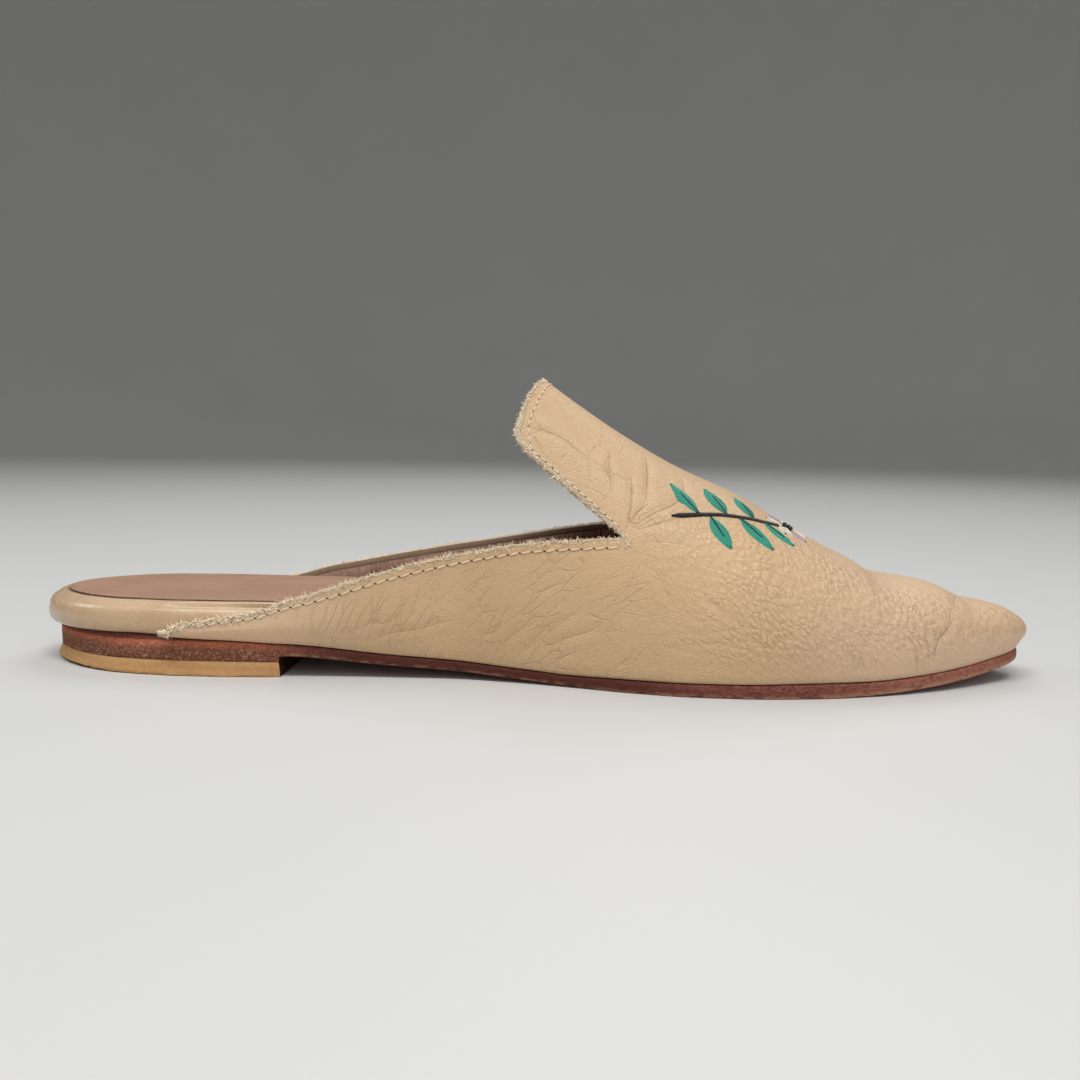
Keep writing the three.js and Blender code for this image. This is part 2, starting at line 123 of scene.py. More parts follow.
# Collar edge: station, medial and lateral height in % of TAB_HEIGHT
COLLAR = (
    (14.6, 13.7, 13.7), (15.9, 15.8, 16.6), (17.4, 17.8, 18.7), (19.3, 19.1, 21.1), (21.8, 20.5, 23.6),
    (24.2, 22.2, 26.1), (26.5, 25.3, 28.4), (29.5, 28.4, 30.5), (34.6, 34.3, 34.1), (37.5, 37.4, 35.9),
    (39.8, 39.5, 37.4), (45.1, 43.7, 40.4), (50.0, 46.8, 43.2), (58.5, 49.6, 47.8),
)

# Outsole: station in % of LENGTH, thickness in mm; skived thin at the waist
OUTSOLE = (
    (0, 4.3), (10.6, 4.8), (14.4, 4.5), (16.7, 3.9), (21.6, 3.5), (26.5, 2.9), (31.0, 2.7), (39.8, 2.5),
    (51.9, 2.5), (59.5, 3.1), (68.2, 3.2), (76.9, 3.6), (83.0, 3.3), (93.6, 3.2), (100, 2.9),
)

# Footbed: station, rim past the sole's edge and sock inside the rim in mm, top in % of HEEL_HEIGHT
FOOTBED = (
    (0, 3.2, 5.0, 201), (5.0, 2.8, 4.8, 201), (9.5, 1.8, 4.5, 201), (14.4, -0.4, 4.3, 201),
    (20.8, -1.4, 4.0, 201), (28.4, -2.0, 3.0, 200), (36.0, -2.8, 1.6, 186), (42.4, -3.0, 1.2, 161),
    (49.2, -3.2, 1.0, 129), (56.8, -3.2, 1.0, 102), (64.4, -3.2, 1.0, 86), (75.8, -3.2, 1.0, 84),
    (85.2, -3.2, 1.0, 93), (99.8, -3.2, 1.0, 138),
)

# Round rim of the footbed: % of its height, drawn in by mm
FOOTBED_RIM = ((0, 1.7), (8, 0.7), (20, 0.15), (42, 0), (70, 0.4), (92, 1.7), (100, 3.8))


def column(table, index, unit=1.0, power=1, length=LENGTH):
    """Smooth curve through one column of a table, never past its rows; a power of 2 rounds its ends."""
    x = [row[0] * length / 100 for row in table]
    y = [(row[index] * unit) ** power for row in table]
    slope = [(y[i + 1] - y[i]) / (x[i + 1] - x[i]) for i in range(len(x) - 1)]
    inner = [0 if a * b <= 0 else 2 * a * b / (a + b) for a, b in zip(slope, slope[1:])]
    tangent = [slope[0], *inner, slope[-1]]

    def curve(at):
        here = min(max(at, x[0]), x[-1])
        i = max(1, bisect_left(x, here)) - 1
        span = x[i + 1] - x[i]
        t = (here - x[i]) / span
        value = y[i] + t * (1 - t) ** 2 * span * tangent[i] + (3 - 2 * t) * t * t * (y[i + 1] - y[i])
        value -= t * t * (1 - t) * span * tangent[i + 1]
        return value if power == 1 else max(0.0, value) ** (1 / power)

    return curve


def both_sides(table, unit, power):
    return {MEDIAL: column(table, 1, unit / 100, power), LATERAL: column(table, 2, unit / 100, power)}


sole_edge = both_sides(SOLE, BALL_WIDTH, 2)
last_edge = both_sides(LAST, BALL_WIDTH, 2)
collar_height = both_sides(COLLAR, TAB_HEIGHT, 1)
waist_height = column(LAST, 3, TAB_HEIGHT / 100)
ridge_height = column(LAST, 4, TAB_HEIGHT / 100)
underside = column(SOLE, 3, HEEL_HEIGHT / 100)
outsole_thickness = column(OUTSOLE, 1)
rim_overhang = column(FOOTBED, 1)
sock_margin = column(FOOTBED, 2)
footbed_top = column(FOOTBED, 3, HEEL_HEIGHT / 100)
rim_inset = column(FOOTBED_RIM, 1, length=1)
SOLE_BACK = SOLE[0][0] * LENGTH / 100
SOLE_TIP = SOLE[-1][0] * LENGTH / 100


def lerp(a, b, t):
    return a + (b - a) * t


def smooth(a, b, x):
    t = min(max((x - a) / (b - a), 0.0), 1.0)
    return t * t * (3 - 2 * t)


def steps(start, end, count):
    return [lerp(start, end, i / count) for i in range(count + 1)]


def footbed_reach(x):
    """How far the footbed stands out past the sole's edge: bare at the heel, snug in the upper ahead."""
    lining = lerp(0.25, 0.9, smooth(WING_TIP + 14, WING_TIP + 24, x))
    room = min(last_edge[side](x) - sole_edge[side](x) for side in (MEDIAL, LATERAL))
    snug = max(rim_overhang(x), room - wall_at(x) - lining)
    inside_wings = smooth(24, 44, x) * smooth(180, 140, x)
    return lerp(rim_overhang(x), snug, inside_wings)


def sole_top(x):
    return underside(x) + outsole_thickness(x)


def seat_height(x):
    """Height at which footbed and upper sit on the sole."""
    return sole_top(x) + SEAT_GAP


def feather(x, side):
    """Foot of the upper at a station, as (y, z); past the sole's tip it closes under the nose."""
    past = min(max((x - SOLE_TIP) / (NOSE - SOLE_TIP), 0.0), 1.0)
    nose = waist_height(NOSE)
    y = side * max(0.0, sole_edge[side](x) - FEATHER_INSET)
    return y, nose - (nose - seat_height(x)) * math.sqrt(1 - past * past)


def last_point(x, side, q):
    """Point of the last's surface: q runs from 0 at the feather edge to 1 on the ridge."""
    foot_y, foot_z = feather(x, side)
    wide = side * last_edge[side](x)
    ridge = RIDGE_OFFSET * min(1.0, last_edge[MEDIAL](x) / (BALL_WIDTH / 4))
    waist = max(waist_height(x), foot_z)
    if q <= LOWER_SHARE:
        t = q / LOWER_SHARE
        return Vector((x, lerp(foot_y, wide, math.sin(math.pi / 2 * t)), lerp(foot_z, waist, t)))
    angle = math.pi / 2 * (q - LOWER_SHARE) / (1 - LOWER_SHARE)
    c, s = max(0.0, math.cos(angle)), math.sin(angle)
    reach = (c**FULLNESS + s**FULLNESS) ** (-1 / FULLNESS)
    return Vector((x, ridge + (wide - ridge) * reach * c, waist + (ridge_height(x) - waist) * reach * s))


def last_normal(x, side, q):
    """Outward direction of the last's surface."""
    step, rise = 0.4, 0.01
    ahead = last_point(min(x + step, NOSE - 0.01), side, q) - last_point(x - step, side, q)
    upward = last_point(x, side, min(q + rise, 1)) - last_point(x, side, max(q - rise, 0))
    return (ahead.cross(upward) * -side).normalized()


def run_along(points):
    """Distance of each point from the first, along the line through them."""
    return [0.0, *accumulate((b - a).length for a, b in zip(points, points[1:]))]


@lru_cache(maxsize=None)
def girth_steps(x, side):
    """Distances round a section of the last, from its ridge down to the feather edge."""
    spots = [last_point(x, side, q) for q in steps(1, 0, GIRTH_STEPS)]
    return run_along(spots)


def girth_from_ridge(x, side, q):
    reach = girth_steps(round(x, 1), side)
    place = (1 - q) * GIRTH_STEPS
    i = min(int(place), GIRTH_STEPS - 1)
    return lerp(reach[i], reach[i + 1], place - i)


def share_at(x, side, z):
    """Share q at which the last's surface reaches the height z."""
    low, high = 0.0, 1.0
    for _ in range(28):
        middle = (low + high) / 2
        if last_point(x, side, middle).z < z:
            low = middle
        else:
            high = middle
    return low


throat_share = {side: share_at(THROAT, side, collar_height[side](THROAT)) for side in (MEDIAL, LATERAL)}


def collar_share(x, side, inset=0.0):
    """Share q of the collar edge, or of a line `inset` below it that closes up at the throat."""
    throat = THROAT + inset
    if x >= throat:
        return throat_share[side]
    here = collar_height[side](x)
    drop = inset * (1 - smooth(throat - 2 * inset, throat, x)) if inset else 0.0
    return min(share_at(x, side, here - drop), throat_share[side] if x > THROAT else 1.0)


def tab_spot(t, out, inset=0.0):
    """Station, side and share of a spot on the tab; t runs from the throat to its end, out from -1 to 1."""
    side = MEDIAL if out < 0 else LATERAL
    reach = abs(out)
    rounding = max(0.0, (t - TAB_CORNER_START) / (1 - TAB_CORNER_START))
    lift = TAB_CORNER * (1 - math.sqrt(max(0.0, 1 - rounding**2)))
    edge = lerp(collar_height[side](THROAT), TAB_CORNER_HEIGHT, t) + lift + inset * min(1.0, 6 * t)
    end = TAB_END - TAB_END_SLANT * reach**TAB_END_CURVE + inset
    x = lerp(THROAT + inset, end, t)
    edge_share = share_at(x, side, edge)
    if inset and t < TAB_FOOT:
        edge_share = lerp(throat_share[side], edge_share, smooth(0, TAB_FOOT, t))
    return x, side, 1 - (1 - edge_share) * reach


def wall_at(x):
    return lerp(WING_TIP_WALL, WALL, smooth(WING_TIP, WING_FULL_WALL, x))


def closing(start, end, count):
    """Stations that crowd together towards the end."""
    return [lerp(start, end, math.sin(math.pi / 2 * i / count)) for i in range(count + 1)]


# Mesh work


def float_layer(bm, name):
    return bm.verts.layers.float.get(name) or bm.verts.layers.float.new(name)


def lay_grid(bm, rows, columns, spot):
    """Grid with its corner (i, j) on the last where spot(i, j) says; layers keep each corner's place."""
    along, girth, around = (float_layer(bm, name) for name in ("along", "girth", "around"))
    made = bmesh.ops.create_grid(bm, x_segments=rows, y_segments=columns, size=1)
    for vert in made["verts"]:
        i = round((vert.co.x + 1) / 2 * rows)
        j = round((vert.co.y + 1) / 2 * columns)
        x, side, q = spot(i, j)
        vert.co = last_point(x, side, q)
        vert[along] = x
        vert[girth] = side * (1 - q)
        vert[around] = side * girth_from_ridge(x, side, q)


# Faces of the skin: along a wing, to the toe box, to the nose, up a side, half across, along the tab
SKIN_COUNTS = (110, 80, 40, 30, 38, 44)


def lay_skin(bm, back, inset, fine):
    """Skin of the upper: two wings to the nose and the vamp with its tab, drawn in by `inset`."""
    throat = THROAT + inset
    wing, vamp, nose, up, across, tab = (round(count * fine) for count in SKIN_COUNTS)
    ahead = steps(throat, TOE_BOX, vamp) + closing(TOE_BOX, NOSE, nose)[1:]
    along = steps(back, throat, wing) + ahead[1:]
    for side in (MEDIAL, LATERAL):
        top = [collar_share(x, side, inset) for x in along]
        lay_grid(bm, len(along) - 1, up, lambda i, j: (along[i], side, top[i] * j / up))

    def over_ridge(i, j):
        side = MEDIAL if j < across else LATERAL
        return ahead[i], side, lerp(1, throat_share[side], abs(j - across) / across)

    lay_grid(bm, len(ahead) - 1, 2 * across, over_ridge)
    ends = closing(0, 1, tab)
    lay_grid(bm, tab, 2 * across, lambda i, j: tab_spot(ends[i], (j - across) / across, inset))
    bmesh.ops.remove_doubles(bm, verts=bm.verts, dist=1e-3)
    bmesh.ops.recalc_face_normals(bm, faces=bm.faces)
    middle = max(bm.verts, key=lambda vert: vert.co.z)
    if middle.normal.z < 0:
        bmesh.ops.reverse_faces(bm, faces=bm.faces)
    bm.normal_update()


def thicken(bm, depth):
    """Closes a skin to a wall that goes `depth(vert)` inwards; returns its rim and inner faces."""
    outer = list(bm.faces)
    drop = {}
    order = bm.verts.layers.int.new("order")
    for number, vert in enumerate(bm.verts):
        vert[order] = number
        drop[number] = vert.normal * depth(vert)
    made = bmesh.ops.extrude_face_region(bm, geom=outer, use_keep_orig=True)["geom"]
    inner = [item for item in made if isinstance(item, bmesh.types.BMFace)]
    for vert in (item for item in made if isinstance(item, bmesh.types.BMVert)):
        vert.co -= drop[vert[order]]
    bmesh.ops.recalc_face_normals(bm, faces=bm.faces)
    known = set(outer) | set(inner)
    return [face for face in bm.faces if face not in known], inner


def sole_ring(along, inset, height):
    """Ring up the medial side of the sole's outline and down the lateral one, drawn in by inset(x)."""
    loop = [Vector((x, -sole_edge[MEDIAL](x))) for x in along]
    loop += [Vector((x, sole_edge[LATERAL](x))) for x in reversed(along)]

    def neighbour(i, step):
        other = loop[(i + step) % len(loop)]
        return other if (other - loop[i]).length > 1e-3 else loop[(i + 2 * step) % len(loop)]

    ring = []
    for i, point in enumerate(loop):
        tangent = (neighbour(i, 1) - neighbour(i, -1)).normalized()
        draw = inset(point.x)
        ring.append(Vector((point.x - tangent.y * draw, point.y + tangent.x * draw, height(point.x))))
    return ring


def towards_middle(ring, share, crown=0.0):
    """Ring drawn towards the line half-way between its sides, raised to a crown there."""
    drawn = []
    for i, point in enumerate(ring):
        partner = ring[-1 - i]
        middle = (point + partner) / 2
        rise = crown * min(1.0, (point - partner).length / HEEL_WIDTH) * (1 - (1 - share) ** 2)
        drawn.append(point.lerp(middle, share) + Vector((0, 0, rise)))
    return drawn


def plate(rings):
    """Closed plate through rings of equally many points; a layer keeps how far up the rings a corner is."""
    bm = bmesh.new()
    order = bm.verts.layers.int.new("order")
    rise = float_layer(bm, "rise")
    made = bmesh.ops.create_circle(bm, segments=len(rings[0]), radius=1)
    for number, vert in enumerate(made["verts"]):
        vert[order] = number
        vert.co = rings[0][number]
    edges = list(bm.edges)
    for level, ring in enumerate(rings[1:], 1):
        grown = bmesh.ops.extrude_edge_only(bm, edges=edges)["geom"]
        verts = {item for item in grown if isinstance(item, bmesh.types.BMVert)}
        for vert in verts:
            vert.co = ring[vert[order]]
            vert[rise] = level
        grown_edges = (item for item in grown if isinstance(item, bmesh.types.BMEdge))
        edges = [edge for edge in grown_edges if verts.issuperset(edge.verts)]
    bmesh.ops.remove_doubles(bm, verts=bm.verts, dist=1e-3)
    bmesh.ops.dissolve_degenerate(bm, edges=bm.edges, dist=1e-4)
    bmesh.ops.recalc_face_normals(bm, faces=bm.faces)
    return bm


def finish_piece(name, bm, finishes, node=None, choose=None):
    """Turns millimetres from the heel into metres of the frame, and sets the piece on the shoe.

    A cut piece, with a finish to choose for each of its faces, keeps its corners crisp.
    """
    to_frame = Matrix.Scale(MM, 4) @ Matrix.Translation((HEEL_BACK, AXIS, 0))
    bmesh.ops.transform(bm, verts=bm.verts, matrix=to_frame)
    for face in bm.faces:
        face.smooth = True
        if choose:
            face.material_index = choose(face)
    mesh = bpy.data.meshes.new(name)
    bm.to_mesh(mesh)
    bm.free()
    if choose:
        mesh.set_sharp_from_angle(angle=CRISP_CORNER)
    piece = bpy.data.objects.new(name, mesh)
    bpy.context.scene.collection.objects.link(piece)
    for finish in finishes:
        mesh.materials.append(finish)
    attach(piece, "root")
    if node:
        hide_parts(node)
    return piece


def collar_line(side, inset=0.0, start=WING_END):
    """Spots along a wing's edge, or along a line `inset` inside it, from the wing's tip to the throat."""
    line = []
    for x in steps(start, THROAT - (0 if inset else 0.01), 160):
        height = collar_height[side](x) - inset * lerp(0.5, 1, smooth(50, 90, x))
        line.append((x, side, min(share_at(x, side, height), throat_share[side])))
    return line


def tab_line(inset=0.0):
    """Spots round the tab from the medial throat to the lateral one, `inset` inside its edge."""
    start, turn = (0.03, 0.92) if inset else (0.0, 1.0)
    up = [(t, -1.0) for t in steps(start, turn, 60)]
    over = [(1.0, out) for out in steps(-turn, turn, 80)][1:-1]
    down = [(t, 1.0) for t in reversed(steps(start, turn, 60))]
    half_width, run = 24, 30
    shorter, narrower = 1 - inset / run, 1 - 0.35 * inset / half_width
    return [tab_spot(t * shorter, out * narrower) for t, out in up + over + down]


class SkinPath:
    """A line over the upper's skin, measured along its length."""

    def __init__(self, spots, lift=0.0):
        self.normals = [last_normal(*spot) for spot in spots]
        self.points = [last_point(*spot) + normal * lift for spot, normal in zip(spots, self.normals)]
        self.reach = run_along(self.points)
        self.length = self.reach[-1]

    def at(self, distance):
        """Point, outward normal and forward direction at a distance along the line."""
        i = min(max(1, bisect_left(self.reach, distance)), len(self.points) - 1)
        span = self.reach[i] - self.reach[i - 1]
        t = (distance - self.reach[i - 1]) / span if span else 0.0
        point = self.points[i - 1].lerp(self.points[i], t)
        normal = self.normals[i - 1].lerp(self.normals[i], t).normalized()
        return point, normal, (self.points[i] - self.points[i - 1]).normalized()


def lay_frame(point, forward, normal):
    """Matrix that lays a shape's X along `forward` and its Z along `normal`."""
    across = normal.cross(forward).normalized()
    turned = Matrix((forward, across, forward.cross(across))).transposed().to_4x4()
    return Matrix.Translation(point) @ turned


def bead(bm, place, turn, size, segments):
    """Round bead with the given half sizes, turned by degrees in the plane of the leather."""
    turned = place @ Matrix.Rotation(math.radians(turn), 4, "Z") @ Matrix.Diagonal((*size, 1))
    bmesh.ops.create_uvsphere(bm, u_segments=8, v_segments=segments, radius=1, matrix=turned)


# Creases of the upper: depth and half-width in mm, then station and share pairs along the crease
CREASES = (
    (0.35, 0.9, ((151, 0.73), (151, 0.66), (151.5, 0.61))),
    (0.45, 0.9, ((160.5, 0.84), (160.5, 0.74), (160, 0.63))),
    (0.4, 0.9, ((156.5, 0.7), (156.5, 0.64), (156, 0.58), (155.5, 0.53))),
    (0.5, 1.0, ((155.5, 0.53), (157.5, 0.58), (160, 0.62))),
    (0.4, 1.1, ((156.5, 0.53), (161.5, 0.6), (167, 0.67), (169.5, 0.75), (169.5, 0.82))),
    (0.35, 0.9, ((130.5, 0.66), (135, 0.68), (139.5, 0.69), (143, 0.68), (146, 0.67))),
    (0.25, 0.9, ((147.5, 0.65), (152, 0.67), (156.5, 0.67))),
    (0.3, 1.2, ((157.5, 0.53), (164, 0.59), (172, 0.66))),
    (0.12, 1.2, ((157.5, 0.5), (167, 0.54), (173, 0.54))),
    (0.1, 1.1, ((154.5, 0.44), (158, 0.45), (162.5, 0.44), (165, 0.39), (167, 0.37))),
    (0.19, 0.9, ((174, 0.4), (178.5, 0.39))),
    (0.36, 1.1, ((244, 0.93), (240, 0.72), (239, 0.59))),
    (0.28, 0.9, ((238, 0.6), (237, 0.55), (237, 0.47))),
    (0.42, 1.0, ((237.5, 0.5), (234.5, 0.39), (232.5, 0.33), (232, 0.23), (232, 0.15))),
    (0.16, 2.4, ((217, 0.85), (213.5, 0.72), (211, 0.62))),
    (0.4, 1.0, ((222.5, 0.41), (225.5, 0.32), (227, 0.16), (227.5, 0.02))),
    (0.36, 0.9, ((229, 0.39), (230, 0.26), (230.5, 0.1))),
    (0.3, 0.9, ((209.5, 0.24), (210.5, 0.1))),
    (0.3, 0.9, ((211.5, 0.24), (213.5, 0.09))),
    (0.25, 0.9, ((215.5, 0.21), (216.5, 0.1))),
    (0.12, 0.9, ((73.5, 0.15), (73.5, 0.25), (74, 0.32))),
    (0.12, 0.9, ((80.5, 0.2), (81.5, 0.32))),
    (0.15, 0.9, ((86.5, 0.14), (91, 0.19), (94.5, 0.21))),
    (0.19, 0.9, ((93.5, 0.11), (98.5, 0.14), (104.5, 0.16), (109.5, 0.19), (114, 0.21))),
    (0.19, 0.9, ((101, 0.22), (103.5, 0.31), (105, 0.32))),
    (0.15, 0.9, ((108, 0.26), (108.5, 0.32), (110.5, 0.34))),
    (0.19, 0.9, ((119, 0.14), (123.5, 0.17), (125.5, 0.25), (127.5, 0.3))),
    (0.22, 0.9, ((123.5, 0.07), (127, 0.14), (130.5, 0.2), (133.5, 0.27))),
    (0.22, 0.9, ((129, 0.07), (132, 0.12), (136.5, 0.21), (139.5, 0.26))),
    (0.19, 0.9, ((131, 0.27), (134, 0.32), (139.5, 0.36))),
    (0.15, 0.9, ((134.5, 0.33), (137, 0.34), (141, 0.37))),
    (0.19, 0.9, ((137.5, 0.19), (141, 0.26), (143.5, 0.3))),
    (0.22, 0.9, ((134.5, 0.1), (139, 0.15), (143.5, 0.19), (147, 0.22), (149.5, 0.26))),
    (0.15, 0.9, ((137, 0.05), (143.5, 0.11))),
    (0.19, 0.9, ((152.5, 0.04), (155.5, 0.09), (157.5, 0.13))),
    (0.19, 0.9, ((157.5, 0.05), (158, 0.1), (160.5, 0.18))),
    (0.19, 1.0, ((164.5, 0.4), (167, 0.37), (170.5, 0.35))),
    (0.19, 1.0, ((175.5, 0.4), (179, 0.37))),
    (0.08, 1.1, ((164.5, 0.19), (171, 0.23), (175.5, 0.25), (184, 0.28), (188.5, 0.29))),
    (0.08, 1.2, ((150.5, 0.31), (156.5, 0.32), (160, 0.32), (167, 0.35), (171.5, 0.35))),
)
# The lateral side creases alike, a little further forward and softer, and much softer on the toe
CREASE_SIDES = ((MEDIAL, 0.0, 1.0, 1.0), (LATERAL, 1.6, 0.8, 0.3))
TOE_CREASES = 205
CREASE_RELIEF = 0.5
# Lips beside a crease: height in shares of its depth, place and half-width in shares of its half-width
LIP_HEIGHT, LIP_PLACE, LIP_WIDTH = 0.35, 2.2, 1.2
FOLD_REACH = 3.0


def gap_to_line(points, spots, normals=None):
    """Distance of each point from a line, share along it of the nearest spot, and the signed distance."""
    span = np.full(len(points), 1e9)
    share = np.zeros(len(points))
    signed = np.zeros(len(points))
    for k in range(len(spots) - 1):
        start, reach = spots[k], spots[k + 1] - spots[k]
        t = np.clip(((points - start) @ reach) / max(reach @ reach, 1e-9), 0, 1)
        off = points - start - t[:, None] * reach
        gap = np.linalg.norm(off, axis=1)
        nearer = gap < span
        span = np.where(nearer, gap, span)
        share = np.where(nearer, (k + t) / (len(spots) - 1), share)
        if normals is not None:
            side = np.sign(np.einsum("ij,ij->i", np.cross(normals, reach), off))
            signed = np.where(nearer, gap * side, signed)
    return span, share, signed


def rounded(line, count=5):
    """Smooth curve through the pairs of a crease."""
    pairs = [np.array(pair) for pair in line]
    ends = [2 * pairs[0] - pairs[1], *pairs, 2 * pairs[-1] - pairs[-2]]
    curve = []
    for a, b, c, d in zip(ends, ends[1:], ends[2:], ends[3:]):
        for t in steps(0, 1, count)[:-1]:
            bend = (2 * a - 5 * b + 4 * c - d) * t * t + (3 * b - a - 3 * c + d) * t**3
            curve.append(b + ((c - a) * t + bend) / 2)
    return [*curve, pairs[-1]]


def creased(points, normals):
    """Rise of each point of the skin through the creases, and distance and depth of the nearest fold."""
    rise = np.zeros(len(points))
    fold = np.full(len(points), FOLD_REACH)
    depth_here = np.zeros(len(points))
    for (side, shift, waist, toe), (depth, width, line) in product(CREASE_SIDES, CREASES):
        softer = toe if line[0][0] > TOE_CREASES else waist
        spots = np.array([last_point(x + shift, side, min(q, 1.0)) for x, q in rounded(line)])
        span, share, signed = gap_to_line(points, spots, normals)
        # It runs out towards both ends
        fade = np.clip(np.minimum(share + 0.12, 1.12 - share) / 0.4, 0, 1)
        trough = np.exp(-((span / width) ** 2))
        lips = LIP_HEIGHT * np.exp(-(((span / width - LIP_PLACE) / LIP_WIDTH) ** 2))
        rise += CREASE_RELIEF * depth * softer * fade * (lips - trough)
        nearer = span < np.abs(fold)
        fold = np.where(nearer, signed, fold)
        nearby = np.clip(1.25 - span / FOLD_REACH * 2, 0, 1)
        depth_here = np.where(nearer, depth * softer * fade * nearby, depth_here)
    return rise, fold, depth_here


def edge_gaps(points):
    """Distance of each point of the skin from the cut edges of collar and tab."""
    lines = (collar_line(MEDIAL), collar_line(LATERAL), tab_line())
    gaps = [gap_to_line(points, np.array([last_point(*spot) for spot in line]))[0] for line in lines]
    return np.minimum.reduce(gaps)


# Finishes


class Value:
    """A number or colour in a finish; sums and products on numbers add Math nodes."""

    def __init__(self, finish, socket):
        self.finish = finish
        self.socket = socket

    def __add__(self, other):
        return self.finish.math("ADD", self, other)

    __radd__ = __add__

    def __sub__(self, other):
        return self.finish.math("SUBTRACT", self, other)

    def __rsub__(self, other):
        return self.finish.math("SUBTRACT", other, self)

    def __mul__(self, other):
        return self.finish.math("MULTIPLY", self, other)

    __rmul__ = __mul__

    def __abs__(self):
        return self.finish.math("ABSOLUTE", self)


class Finish:
    """One material and the nodes that vary it over the surface."""

    def __init__(self, name, **constants):
        self.material = bpy.data.materials.new(name)
        self.material.use_nodes = True
        self.tree = self.material.node_tree
        self.shader = self.tree.nodes["Principled BSDF"]
        self.set(**constants)

    def node(self, kind, settings=None, sockets=None, output=0):
        made = self.tree.nodes.new(kind)
        for key, value in (settings or {}).items():
            setattr(made, key, value)
        for key, value in (sockets or {}).items():
            self.feed(made.inputs[key], value)
        return Value(self, made.outputs[output])

    def feed(self, socket, value):
        if isinstance(value, Value):
            self.tree.links.new(value.socket, socket)
        else:
            socket.default_value = value

    def math(self, operation, first, second=0.0):
        return self.node("ShaderNodeMath", {"operation": operation}, {0: first, 1: second})

    def vector(self, operation, first, second):
        return self.node("ShaderNodeVectorMath", {"operation": operation}, {0: first, 1: second})

    def spot(self, stretch=(1, 1, 1)):
        """Place on the piece in millimetres, squeezed along the axes by `stretch`."""
        place = self.node("ShaderNodeTexCoord", output=3)
        return self.vector("MULTIPLY", place, tuple(number / MM for number in stretch))

    def axis(self, spot, index):
        """Place along one axis: 0 from heel to toe, 2 upwards."""
        return self.node("ShaderNodeSeparateXYZ", None, {0: spot}, index)

    def layer(self, name):
        return self.node("ShaderNodeAttribute", {"attribute_name": name}, output=2)

    def noise(self, spot, scale, detail=2.0, roughness=0.5):
        sockets = {"Vector": spot, "Scale": scale, "Detail": detail, "Roughness": roughness}
        return self.node("ShaderNodeTexNoise", None, sockets)

    def warped(self, spot, scale, reach):
        """The place shifted by up to `reach` millimetres, so that cells and lines wander."""
        sway = self.node("ShaderNodeTexNoise", None, {"Vector": spot, "Scale": scale, "Detail": 2.0}, 1)
        middle = self.vector("SUBTRACT", sway, (0.5, 0.5, 0.5))
        return self.vector("ADD", spot, self.vector("MULTIPLY", middle, (2 * reach,) * 3))

    def edges(self, spot, scale, flat="3D"):
        """Distance from the lines between irregular cells."""
        settings = {"feature": "DISTANCE_TO_EDGE", "voronoi_dimensions": flat}
        return self.node("ShaderNodeTexVoronoi", settings, {"Vector": spot, "Scale": scale})

    def domes(self, spot, scale):
        """Round domes that meet in valleys along the lines that `edges` gives for the same flat cells."""
        settings = {"feature": "SMOOTH_F1", "voronoi_dimensions": "2D"}
        sockets = {"Vector": spot, "Scale": scale, "Smoothness": 0.12}
        return self.ramp(self.node("ShaderNodeTexVoronoi", settings, sockets), 0.6, 0.0)

    def ramp(self, value, low, high, start=0.0, end=1.0):
        """Smooth step from start to end as the value goes from low to high."""
        settings = {"interpolation_type": "SMOOTHSTEP"}
        return self.node("ShaderNodeMapRange", settings, {0: value, 1: low, 2: high, 3: start, 4: end})

    def mix(self, share, first, second):
        settings = {"data_type": "RGBA", "clamp_factor": True}
        return self.node("ShaderNodeMix", settings, {0: share, 6: colour(first), 7: colour(second)}, 2)

    def tones(self, share, base, dark, light):
        """From a darker to a lighter shade of one colour."""
        return self.mix(share, shade(base, dark), shade(base, light))

    def bump(self, height, depth):
        """Relief of the given depth in millimetres."""
        sockets = {"Strength": 1.0, "Distance": depth * MM, "Height": height}
        self.set(normal=self.node("ShaderNodeBump", None, sockets))

    def set(self, **sockets):
        for key, value in sockets.items():
            socket = key.replace("_", " ").title().replace("Ior", "IOR")
            self.feed(self.shader.inputs[socket], value)
        return self.material


def colour(value):
    """A colour with its alpha; values pass through."""
    return value if isinstance(value, Value) else (*tuple(value)[:3], 1.0)


def shade(value, factor):
    """A colour lightened or darkened by one factor, or by one for each channel."""
    factors = factor if isinstance(factor, tuple) else (factor,) * 3
    return tuple(channel * each for channel, each in zip(value, factors))


def linear(red, green, blue):
    """Display colour of 0 to 255 as the linear colour that a finish takes."""

    def channel(value):
        value /= 255
        return value / 12.92 if value <= 0.04045 else ((value + 0.055) / 1.055) ** 2.4

    return channel(red), channel(green), channel(blue)


